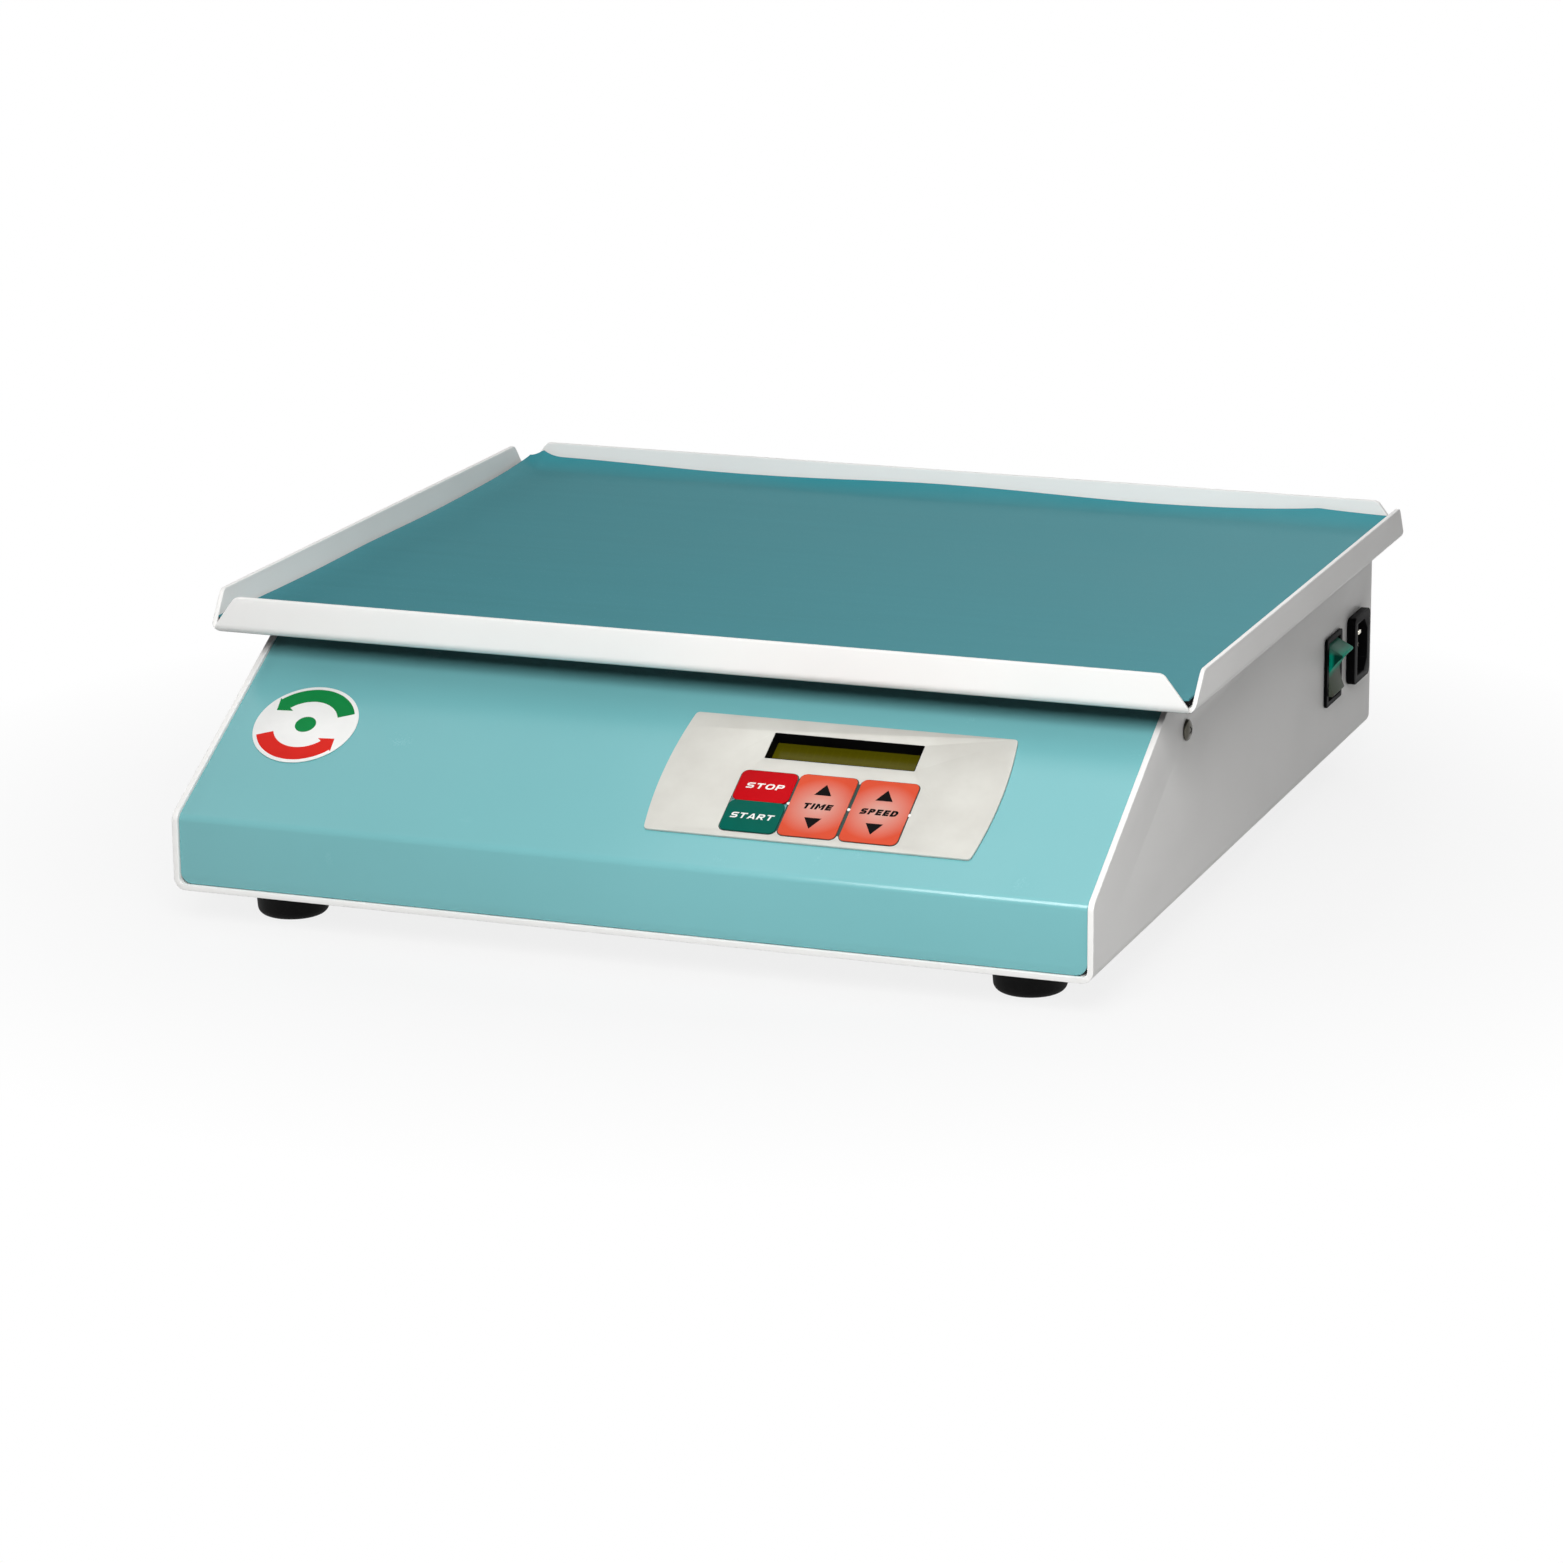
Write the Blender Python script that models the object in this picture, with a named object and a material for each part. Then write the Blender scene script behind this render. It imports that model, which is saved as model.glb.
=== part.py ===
"""Laboratory orbital rotator.

A sheet-metal pan and a bent cover hold a belt drive. The drive swings a tray on five equal
cranks, so that the tray orbits without turning. Metres, +Z up. The origin is on the ground,
in the middle of the pan. The front, with the sloping control panel, faces -Y.
"""

from math import atan2, cos, pi, radians, sin, sqrt, tan

import bmesh
import bpy
from mathutils import Matrix, Vector

# General
GAP = 0.0003
SCREW_CLEARANCE = 0.0003
RUNNING_CLEARANCE = 0.0003
OVERRUN = 0.002
MERGE_DISTANCE = 0.000001
ROUND_STEPS = 20
HALF_ROUND_STEPS = 12
LARGE_ROUND_STEPS = 40
SCREW_STEPS = 16
CORNER_STEPS = 4
SMOOTH_ANGLE = radians(40)

# Pan and cover
PAN_WIDTH = 0.400
PAN_DEPTH = 0.421
PAN_SHEET = 0.0025
PAN_BEND = 0.005
COVER_SHEET = 0.0015
COVER_BEND = 0.004
COVER_HEIGHT = 0.086
COVER_CORNER = 0.005
STRIP_HEIGHT = 0.0315
SLOPE_RUN = 0.098
EDGE_PROUD = 0.001
REAR_RECESS = 0.002
VENT_LENGTH = 0.028
VENT_WIDTH = 0.0035
VENT_PITCH = 0.008
VENT_COUNT = 6
VENT_OFFSET = 0.060
VENT_HEIGHT = 0.050

# Feet
FOOT_HEIGHT = 0.016
FOOT_TOP_RADIUS = 0.017
FOOT_BOTTOM_RADIUS = 0.0145
FOOT_ROUND = 0.003
FOOT_INSET_X = 0.0373
FOOT_INSET_Y = 0.0355
FOOT_RECESS_RADIUS = 0.0055
FOOT_RECESS_DEPTH = 0.007
FOOT_SCREW_RADIUS = 0.002
FOOT_SCREW_HEAD_RADIUS = 0.0045
FOOT_SCREW_HEAD_HEIGHT = 0.0025
FOOT_SCREW_PAST_PAN = 0.004

# Cover screws
COVER_SCREW_RADIUS = 0.002
COVER_SCREW_HEAD_RADIUS = 0.0043
COVER_SCREW_HEAD_HEIGHT = 0.0016
COVER_SCREW_LENGTH = 0.008
RECESS_WIDTH = 0.0009
RECESS_LENGTH = 0.0046
RECESS_DEPTH = 0.0008
SIDE_SCREW_FROM_FRONT = 0.1226
SIDE_SCREW_BELOW_TOP = 0.0141
TAB_WIDTH = 0.018
TAB_BELOW_SCREW = 0.008
REAR_SCREW_OFFSET = 0.130
REAR_SCREW_HEIGHT = 0.013
REAR_TAB_ABOVE_SCREW = 0.008

# Tray and mat
TRAY_WIDTH = 0.435
TRAY_DEPTH = 0.336
TRAY_SHEET = 0.002
TRAY_BEND = 0.003
TRAY_LIP = 0.0165
TRAY_LEAN = 0.0008
TRAY_CORNER_CUT = 0.0133
TRAY_GAP = 0.005
MAT_THICKNESS = 0.0025
MAT_MARGIN = 0.003
MAT_EDGE_LIFT = 0.0012
MAT_EDGE_BAND = 0.014
MAT_SPANS_X = 5
MAT_SPANS_Y = 4
MAT_BAND_SHARES = (0.0, 0.3, 0.62, 1.0)

# Cranks
ORBIT_RADIUS = 0.010
IDLER_FROM_SIDE = 0.065
IDLER_FROM_SLOPE = 0.044
IDLER_FROM_REAR = 0.056
IDLER_SHAFT_RADIUS = 0.005
IDLER_SHAFT_BELOW_BRIDGE = 0.017
IDLER_DISC_RADIUS = 0.0165
DRIVE_SHAFT_RADIUS = 0.006
DRIVE_SHAFT_BELOW_BRIDGE = 0.027
DRIVE_DISC_RADIUS = 0.0165
COUNTERWEIGHT_RADIUS = 0.032
COUNTERWEIGHT_HALF_ANGLE = radians(62)
DISC_BELOW_TOP = 0.0167
DISC_THICKNESS = 0.006
PIN_RADIUS = 0.005
PIN_LENGTH = 0.0085
PIN_END_GAP = 0.0006

# Bearing housings and bridge
BRIDGE_BELOW_DISC = 0.0143
BRIDGE_SHEET = 0.003
BRIDGE_BEND = 0.005
BRIDGE_FOOT = 0.012
BRIDGE_MARGIN_X = 0.020
BRIDGE_MARGIN_Y = 0.0195
HOUSING_FLANGE = 0.003
IDLER_BARREL_RADIUS = 0.009
IDLER_FLANGE_RADIUS = 0.018
IDLER_BARREL_BELOW_BRIDGE = 0.015
DRIVE_BARREL_RADIUS = 0.012
DRIVE_FLANGE_RADIUS = 0.022
DRIVE_BARREL_BELOW_BRIDGE = 0.025

# Platform hubs
HUB_BARREL_RADIUS = 0.0095
HUB_FLANGE_RADIUS = 0.016
HUB_FLANGE = 0.0027
HUB_ABOVE_DISC = 0.001
HUB_SWEEP_CLEARANCE = 0.002
TRAY_SCREW_RADIUS = 0.0019
TRAY_SCREW_HEAD_RADIUS = 0.004
TRAY_SCREW_LENGTH = 0.0065
TRAY_SCREW_SINK = 0.0001

# Belt drive
DRIVE_PULLEY_RADIUS = 0.045
DRIVE_PULLEY_HUB_RADIUS = 0.014
DRIVE_PULLEY_WEB = 0.003
DRIVE_PULLEY_RIM = 0.004
MOTOR_PULLEY_RADIUS = 0.012
MOTOR_PULLEY_FLANGE = 0.0035
MOTOR_PULLEY_FLANGE_THICKNESS = 0.001
PULLEY_ABOVE_FLANGE = 0.001
BELT_THICKNESS = 0.0015
BELT_WIDTH = 0.0065
BELT_CLEARANCE = 0.0004
MOTOR_FROM_IDLERS = 0.040
MOTOR_GEARBOX = 0.060
MOTOR_GEARBOX_HEIGHT = 0.018
MOTOR_GEARBOX_CORNER = 0.006
MOTOR_CAN_RADIUS = 0.027
MOTOR_ABOVE_FLOOR = 0.0042
MOTOR_SHAFT_RADIUS = 0.004
MOTOR_SHAFT_IN_MOTOR = 0.011
MOTOR_BORE_DEPTH = 0.012
MOTOR_HOLE_MARGIN = 0.002

# Electronics in the pan and behind the panel
SUPPLY_LENGTH = 0.108
SUPPLY_WIDTH = 0.058
SUPPLY_BASE = 0.002
SUPPLY_CASE_HEIGHT = 0.026
SUPPLY_CASE_INSET = 0.004
SUPPLY_FROM_BRIDGE = 0.023
SUPPLY_BEHIND_DRIVE = 0.0475
SUPPLY_FIN_HEIGHT = 0.005
SUPPLY_FIN_WIDTH = 0.002
SUPPLY_FIN_COUNT = 7
BOARD_WIDTH = 0.112
BOARD_HEIGHT = 0.080
BOARD_THICKNESS = 0.0016
BOARD_CENTRE_U = 0.0742
BOARD_CENTRE_V = 0.0520
BOARD_SPACER_RADIUS = 0.003
BOARD_SPACER_INSET = 0.005
CHIP_SIZE = 0.014
CHIP_HEIGHT = 0.003
CONNECTOR_LENGTH = 0.026
CONNECTOR_WIDTH = 0.007
CONNECTOR_HEIGHT = 0.008
DISPLAY_WIDTH = 0.0647
DISPLAY_HEIGHT = 0.0151
DISPLAY_CENTRE_U = 0.0742
DISPLAY_CENTRE_V = 0.0713
DISPLAY_SINK = 0.0055
DISPLAY_STEP = 0.0004
BEZEL_BORDER_U = 0.003
BEZEL_BORDER_V = 0.005
BEZEL_DEPTH = 0.005
GLASS_DEPTH = 0.0023

# Control panel, in the slope's own directions: u across, v up the slope from the front bend
SEAT = 0.0002
OVERLAY_THICKNESS = 0.001
OVERLAY_WIDTH = 0.1390
OVERLAY_HEIGHT = 0.0690
OVERLAY_BOW = 0.0028
OVERLAY_BOW_STEPS = 8
OVERLAY_CORNER = 0.0018
OVERLAY_CENTRE_U = 0.0742
OVERLAY_CENTRE_V = 0.0525
KEY_GAP = 0.00025
KEY_RISE = 0.00015
KEY_TRAVEL = 0.0005
KEY_CORNER = 0.0026
COMMAND_KEY_LEFT_U = 0.0360
COMMAND_KEY_WIDTH = 0.0237
STOP_KEY_LOW_V = 0.0388
STOP_KEY_HEIGHT = 0.0168
START_KEY_LOW_V = 0.0214
START_KEY_HEIGHT = 0.0169
TIME_TILE_LEFT_U = 0.0611
SPEED_TILE_LEFT_U = 0.0873
TILE_WIDTH = 0.0242
TILE_LOW_V = 0.0214
TILE_HEIGHT = 0.0347
LABEL_HEIGHT = 0.0080
BADGE_RADIUS = 0.0229
BADGE_THICKNESS = 0.0004
BADGE_FROM_SIDE = 0.0372
BADGE_CENTRE_V = 0.0594

# Mains switch and inlet, on the right wall
SWITCH_FROM_REAR = 0.06905
SWITCH_CENTRE_HEIGHT = 0.0430
SWITCH_BEZEL_HEIGHT = 0.0312
SWITCH_BEZEL_WIDTH = 0.0255
SWITCH_BEZEL_THICKNESS = 0.0013
SWITCH_BEZEL_CORNER = 0.0012
SWITCH_BODY_HEIGHT = 0.0284
SWITCH_BODY_WIDTH = 0.0220
SWITCH_BODY_DEPTH = 0.026
SWITCH_WELL_HEIGHT = 0.0268
SWITCH_WELL_WIDTH = 0.0192
SWITCH_WELL_DEPTH = 0.0100
ROCKER_PIVOT_DEPTH = 0.0010
ROCKER_TIP_OUT = 0.0069
ROCKER_TIP_UP = 0.0107
ROCKER_MIDDLE_OUT = 0.0013
ROCKER_HOLLOW = 0.0006
ROCKER_HEEL_IN = 0.0015
ROCKER_HEEL_UP = 0.0122
ROCKER_BACK_IN = 0.0050
ROCKER_BACK_UP = 0.0040
ROCKER_TILT = radians(12)
INLET_FROM_REAR = 0.0303
INLET_CENTRE_HEIGHT = 0.0442
INLET_BEZEL_HEIGHT = 0.0310
INLET_BEZEL_WIDTH = 0.0270
INLET_BEZEL_THICKNESS = 0.0038
INLET_BEZEL_CORNER = 0.0032
INLET_BODY_HEIGHT = 0.0280
INLET_BODY_WIDTH = 0.0210
INLET_BODY_DEPTH = 0.0210
INLET_SOCKET_HEIGHT = 0.0240
INLET_SOCKET_WIDTH = 0.0165
INLET_SOCKET_CHAMFER = 0.0050
INLET_SOCKET_DEPTH = 0.0180
BLADE_WIDTH = 0.0040
BLADE_THICKNESS = 0.0020
BLADE_IN_SOCKET = 0.0115
BLADE_BEHIND_BODY = 0.0060
BLADE_SPACING = 0.0140
BLADE_OFFSET = 0.0020

# Places worked out from the sizes above
pan_bottom = FOOT_HEIGHT
pan_floor = pan_bottom + PAN_SHEET
wall_x = PAN_WIDTH / 2
front_y = EDGE_PROUD - PAN_DEPTH / 2
rear_y = PAN_DEPTH / 2 - REAR_RECESS
cover_top = pan_bottom + COVER_HEIGHT
slope_rise = COVER_HEIGHT - STRIP_HEIGHT
slope_angle = atan2(slope_rise, SLOPE_RUN)
tray_bottom = cover_top + TRAY_GAP
tray_floor = tray_bottom + TRAY_SHEET
idler_x = wall_x - IDLER_FROM_SIDE
front_axis_y = front_y + SLOPE_RUN + IDLER_FROM_SLOPE
rear_axis_y = rear_y - IDLER_FROM_REAR
drive_y = (front_axis_y + rear_axis_y) / 2
tray_y = drive_y - ORBIT_RADIUS
disc_bottom = cover_top - DISC_BELOW_TOP
bridge_top = disc_bottom - BRIDGE_BELOW_DISC
bridge_leg = idler_x + BRIDGE_MARGIN_X
disc_top = disc_bottom + DISC_THICKNESS
pin_top = disc_top + PIN_LENGTH
hub_bottom = disc_top + HUB_ABOVE_DISC
hub_bore_top = pin_top + PIN_END_GAP
hub_top = tray_bottom - GAP
flange_bottom = bridge_top + GAP
flange_top = flange_bottom + HOUSING_FLANGE
pulley_bottom = flange_top + PULLEY_ABOVE_FLANGE
pulley_top = disc_bottom - GAP
belt_bottom = (pulley_bottom + pulley_top - BELT_WIDTH) / 2
motor_x = MOTOR_FROM_IDLERS - idler_x
bezel_top = -COVER_SHEET - GAP
board_top = bezel_top - BEZEL_DEPTH - GAP
film_top = SEAT + OVERLAY_THICKNESS
key_top = film_top + KEY_RISE
tab_rear = rear_y - COVER_SHEET - GAP
side_screw_z = cover_top - SIDE_SCREW_BELOW_TOP
switch_centre = (PAN_DEPTH / 2 - SWITCH_FROM_REAR, pan_bottom + SWITCH_CENTRE_HEIGHT)
inlet_centre = (PAN_DEPTH / 2 - INLET_FROM_REAR, pan_bottom + INLET_CENTRE_HEIGHT)
switch_face = wall_x + GAP + SWITCH_BEZEL_THICKNESS
inlet_face = wall_x + GAP + INLET_BEZEL_THICKNESS
inlet_back = wall_x - INLET_BODY_DEPTH
socket_floor = inlet_face - INLET_SOCKET_DEPTH
panel = Matrix.Translation((0, front_y, pan_bottom + STRIP_HEIGHT)) @ Matrix.Rotation(slope_angle, 4, "X")
idler_places = {
    "front_left": (-idler_x, front_axis_y),
    "front_right": (idler_x, front_axis_y),
    "rear_left": (-idler_x, rear_axis_y),
    "rear_right": (idler_x, rear_axis_y),
}
foot_places = {
    "front_left": (FOOT_INSET_X - wall_x, FOOT_INSET_Y - PAN_DEPTH / 2),
    "front_right": (wall_x - FOOT_INSET_X, FOOT_INSET_Y - PAN_DEPTH / 2),
    "rear_left": (FOOT_INSET_X - wall_x, PAN_DEPTH / 2 - FOOT_INSET_Y),
    "rear_right": (wall_x - FOOT_INSET_X, PAN_DEPTH / 2 - FOOT_INSET_Y),
}


# Scene and materials

def clear_scene():
    for item in list(bpy.data.objects):
        bpy.data.objects.remove(item, do_unlink=True)


def linear(level):
    share = level / 255
    return share / 12.92 if share <= 0.04045 else ((share + 0.055) / 1.055) ** 2.4


def finish(name, colour, roughness, metallic=0.0):
    material = bpy.data.materials.new(name)
    material.use_nodes = True
    shader = material.node_tree.nodes["Principled BSDF"]
    shader.inputs["Base Color"].default_value = (*(linear(level) for level in colour), 1)
    shader.inputs["Roughness"].default_value = roughness
    shader.inputs["Metallic"].default_value = metallic
    return material


def make_finishes():
    return {
        "white_paint": finish("white_paint", (232, 231, 228), 0.45),
        "turquoise_paint": finish("turquoise_paint", (134, 200, 204), 0.38),
        "teal_rubber": finish("teal_rubber", (76, 131, 141), 0.85),
        "black_rubber": finish("black_rubber", (18, 18, 18), 0.7),
        "black_plastic": finish("black_plastic", (16, 16, 17), 0.35),
        "green_plastic": finish("green_plastic", (0, 140, 115), 0.2),
        "cream_film": finish("cream_film", (229, 225, 214), 0.4),
        "red_film": finish("red_film", (214, 22, 36), 0.35),
        "green_film": finish("green_film", (0, 118, 98), 0.35),
        "orange_film": finish("orange_film", (240, 110, 80), 0.35),
        "badge_film": finish("badge_film", (240, 240, 238), 0.3),
        "display_glass": finish("display_glass", (92, 88, 10), 0.15),
        "steel": finish("steel", (170, 172, 175), 0.35, 1.0),
        "zinc": finish("zinc", (190, 192, 196), 0.3, 1.0),
        "aluminium": finish("aluminium", (200, 202, 205), 0.4, 1.0),
        "brass": finish("brass", (196, 160, 90), 0.3, 1.0),
        "motor_metal": finish("motor_metal", (60, 62, 66), 0.45, 1.0),
        "belt_rubber": finish("belt_rubber", (24, 24, 24), 0.8),
        "circuit_board": finish("circuit_board", (22, 92, 58), 0.5),
    }


# Shapes

def new_object(name, work, material, smooth=False, place=None):
    bmesh.ops.remove_doubles(work, verts=work.verts, dist=MERGE_DISTANCE)
    bmesh.ops.recalc_face_normals(work, faces=work.faces)
    mesh = bpy.data.meshes.new(name)
    work.to_mesh(mesh)
    work.free()
    mesh.materials.append(material)
    if smooth:
        mesh.shade_smooth()
        mesh.set_sharp_from_angle(angle=SMOOTH_ANGLE)
    item = bpy.data.objects.new(name, mesh)
    bpy.context.scene.collection.objects.link(item)
    item.matrix_world = place if place is not None else Matrix.Identity(4)
    return item


def prism(name, outline, low, high, material, along="Z", smooth=False, place=None):
    """An outline pushed from low to high. It lies in (Y, Z), (X, Z) or (X, Y)."""
    spots = {"X": lambda a, b: (low, a, b), "Y": lambda a, b: (a, low, b), "Z": lambda a, b: (a, b, low)}
    steps = {"X": (high - low, 0, 0), "Y": (0, high - low, 0), "Z": (0, 0, high - low)}
    work = bmesh.new()
    face = work.faces.new([work.verts.new(spots[along](a, b)) for a, b in outline])
    pushed = bmesh.ops.extrude_face_region(work, geom=[face], use_keep_orig=True)
    moved = [item for item in pushed["geom"] if isinstance(item, bmesh.types.BMVert)]
    bmesh.ops.translate(work, verts=moved, vec=steps[along])
    return new_object(name, work, material, smooth, place)


def box(name, low, high, material, place=None):
    outline = [(low[0], low[1]), (high[0], low[1]), (high[0], high[1]), (low[0], high[1])]
    return prism(name, outline, low[2], high[2], material, place=place)


def turned(name, profile, material, steps=ROUND_STEPS, place=None):
    """A profile of (radius, height) points turned round Z: a ring, or a solid that ends on the axis."""
    work = bmesh.new()
    points = [work.verts.new((radius, 0, height)) for radius, height in profile]
    edges = [work.edges.new(pair) for pair in zip(points, points[1:])]
    if profile[0][0] > 0:
        edges.append(work.edges.new((points[-1], points[0])))
    bmesh.ops.spin(
        work, geom=points + edges, cent=(0, 0, 0), axis=(0, 0, 1), angle=2 * pi, steps=steps,
        use_merge=True, use_duplicate=False)
    return new_object(name, work, material, smooth=True, place=place)


def rod(name, radius, low, high, material, steps=ROUND_STEPS, place=None):
    return turned(name, [(0, low), (radius, low), (radius, high), (0, high)], material, steps, place)


def combine(target, tool, operation):
    change = target.modifiers.new(tool.name, "BOOLEAN")
    change.object = tool
    change.operation = operation
    change.solver = "EXACT"
    tool.hide_render = True
    tool.display_type = "WIRE"


def cut(target, tool):
    combine(target, tool, "DIFFERENCE")


def join(target, tool):
    combine(target, tool, "UNION")


def trim(target, tool):
    combine(target, tool, "INTERSECT")


def at(x, y, z=0.0):
    return Matrix.Translation((x, y, z))


def axis_marker(name, place, children):
    """An empty on a joint's axis that carries the pieces which move about it."""
    marker = bpy.data.objects.new(name, None)
    bpy.context.scene.collection.objects.link(marker)
    marker.matrix_world = place
    marker.empty_display_size = ORBIT_RADIUS
    for child in children:
        child.parent = marker
        child.matrix_parent_inverse = place.inverted()
    return marker


# Outlines

def left_of(direction):
    return Vector((-direction.y, direction.x))


def turned_by(vector, angle):
    return Matrix.Rotation(angle, 2) @ vector


def corner_arc(before, corner, after, radius, steps):
    """Points and left-hand normals round one corner of a path."""
    way_in = (corner - before).normalized()
    way_out = (after - corner).normalized()
    turn = atan2(way_in.x * way_out.y - way_in.y * way_out.x, way_in.dot(way_out))
    side = 1 if turn > 0 else -1
    start = corner - way_in * radius * tan(abs(turn) / 2)
    centre = start + left_of(way_in) * side * radius
    arc = []
    for step in range(steps + 1):
        normal = turned_by(left_of(way_in), turn * step / steps)
        arc.append((centre - normal * side * radius, normal))
    return arc


def bent_path(points, radius, steps=CORNER_STEPS):
    """An open path with its corners rounded, as points with their left-hand normals."""
    path = [Vector(point) for point in points]
    samples = [(path[0], left_of((path[1] - path[0]).normalized()))]
    for before, corner, after in zip(path, path[1:], path[2:]):
        samples += corner_arc(before, corner, after, radius, steps)
    samples.append((path[-1], left_of((path[-1] - path[-2]).normalized())))
    return samples


def sheet_outline(points, radius, sheet):
    """A bent sheet's outline: the given path is one face, and the metal lies on its left."""
    samples = bent_path(points, radius)
    far_face = [point + normal * sheet for point, normal in reversed(samples)]
    return [point for point, normal in samples] + far_face


def rounded_polygon(points, radii, steps=CORNER_STEPS):
    path = [Vector(point) for point in points]
    outline = []
    for index, corner in enumerate(path):
        if radii[index] > 0:
            arc = corner_arc(path[index - 1], corner, path[(index + 1) % len(path)], radii[index], steps)
            outline += [point for point, normal in arc]
        else:
            outline.append(corner)
    return outline


def rectangle(low, high, radii=(0, 0, 0, 0)):
    """Corners run from the low left one, counter-clockwise."""
    corners = [(low[0], low[1]), (high[0], low[1]), (high[0], high[1]), (low[0], high[1])]
    return rounded_polygon(corners, radii)


def centred_rectangle(centre, width, height, radius=0.0):
    low = (centre[0] - width / 2, centre[1] - height / 2)
    high = (centre[0] + width / 2, centre[1] + height / 2)
    return rectangle(low, high, (radius,) * 4)


def casing_path(rear, start):
    """The casing's outer line in (Y, Z), from the rear edge over the top to the front edge."""
    return [
        (rear, start), (rear, cover_top), (front_y + SLOPE_RUN, cover_top),
        (front_y, pan_bottom + STRIP_HEIGHT), (front_y, start),
    ]


# Casing

def make_pan(paint):
    top = cover_top + EDGE_PROUD + OVERRUN
    half = PAN_DEPTH / 2
    channel = [(-wall_x, top), (-wall_x, pan_bottom), (wall_x, pan_bottom), (wall_x, top)]
    outline = sheet_outline(channel, PAN_BEND, PAN_SHEET)
    pan = prism("chassis_pan", outline, -half - OVERRUN, half + OVERRUN, paint, "Y", smooth=True)
    samples = bent_path(casing_path(half - EDGE_PROUD, pan_bottom - OVERRUN), COVER_BEND)
    side = [point - normal * EDGE_PROUD for point, normal in samples]
    trim(pan, prism("pan_side_shape", side, -wall_x - OVERRUN, wall_x + OVERRUN, paint, "X"))
    for name, (x, y) in foot_places.items():
        hole = FOOT_SCREW_RADIUS + SCREW_CLEARANCE
        cut(pan, rod("pan_foot_hole_" + name, hole, pan_bottom - OVERRUN, pan_floor + OVERRUN, paint,
                     SCREW_STEPS, at(x, y)))
    for name, side in (("left", -1), ("right", 1)):
        cut(pan, side_screw_hole("pan_screw_hole_" + name, side, paint))
        tab_x = side * REAR_SCREW_OFFSET
        tab_top = pan_bottom + REAR_SCREW_HEIGHT + REAR_TAB_ABOVE_SCREW
        join(pan, box("pan_rear_tab_" + name,
                      (tab_x - TAB_WIDTH / 2, tab_rear - PAN_SHEET, pan_floor - PAN_SHEET / 2),
                      (tab_x + TAB_WIDTH / 2, tab_rear, tab_top), paint))
        cut(pan, rear_screw_hole("pan_tab_hole_" + name, side, tab_rear - PAN_SHEET, paint))
    for name, spot, height, width in (
            ("switch", switch_centre, SWITCH_BODY_HEIGHT, SWITCH_BODY_WIDTH),
            ("inlet", inlet_centre, INLET_BODY_HEIGHT, INLET_BODY_WIDTH)):
        outline = centred_rectangle(spot, width + 2 * GAP, height + 2 * GAP)
        cut(pan, prism("pan_" + name + "_opening", outline, wall_x - PAN_SHEET - OVERRUN, wall_x + OVERRUN,
                       paint, "X"))
    return pan


def side_screw_place(side):
    turn = Matrix.Rotation(side * pi / 2, 4, "Y")
    return at(side * wall_x, front_y + SIDE_SCREW_FROM_FRONT, side_screw_z) @ turn


def rear_screw_place(side):
    turn = Matrix.Rotation(-pi / 2, 4, "X")
    return at(side * REAR_SCREW_OFFSET, rear_y, pan_bottom + REAR_SCREW_HEIGHT) @ turn


def side_screw_hole(name, side, paint):
    hole = COVER_SCREW_RADIUS + SCREW_CLEARANCE
    return rod(name, hole, -COVER_SCREW_LENGTH, OVERRUN, paint, SCREW_STEPS, side_screw_place(side))


def rear_screw_hole(name, side, far_y, paint):
    hole = COVER_SCREW_RADIUS + SCREW_CLEARANCE
    return rod(name, hole, far_y - OVERRUN - rear_y, OVERRUN, paint, SCREW_STEPS, rear_screw_place(side))


def cover_corner_tool(name, edge_x, side, low, paint):
    """What rounds a lower corner, so that it stays clear of the pan's own bend."""
    inward = edge_x - side * COVER_CORNER
    outward = edge_x + side * OVERRUN
    arc = corner_arc(Vector((edge_x, cover_top)), Vector((edge_x, low)), Vector((0, low)), COVER_CORNER,
                     CORNER_STEPS)
    outline = [point for point, normal in arc]
    outline += [(inward, low - OVERRUN), (outward, low - OVERRUN), (outward, low + COVER_CORNER)]
    return prism(name, outline, front_y - OVERRUN, rear_y + OVERRUN, paint, "Y")


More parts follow.
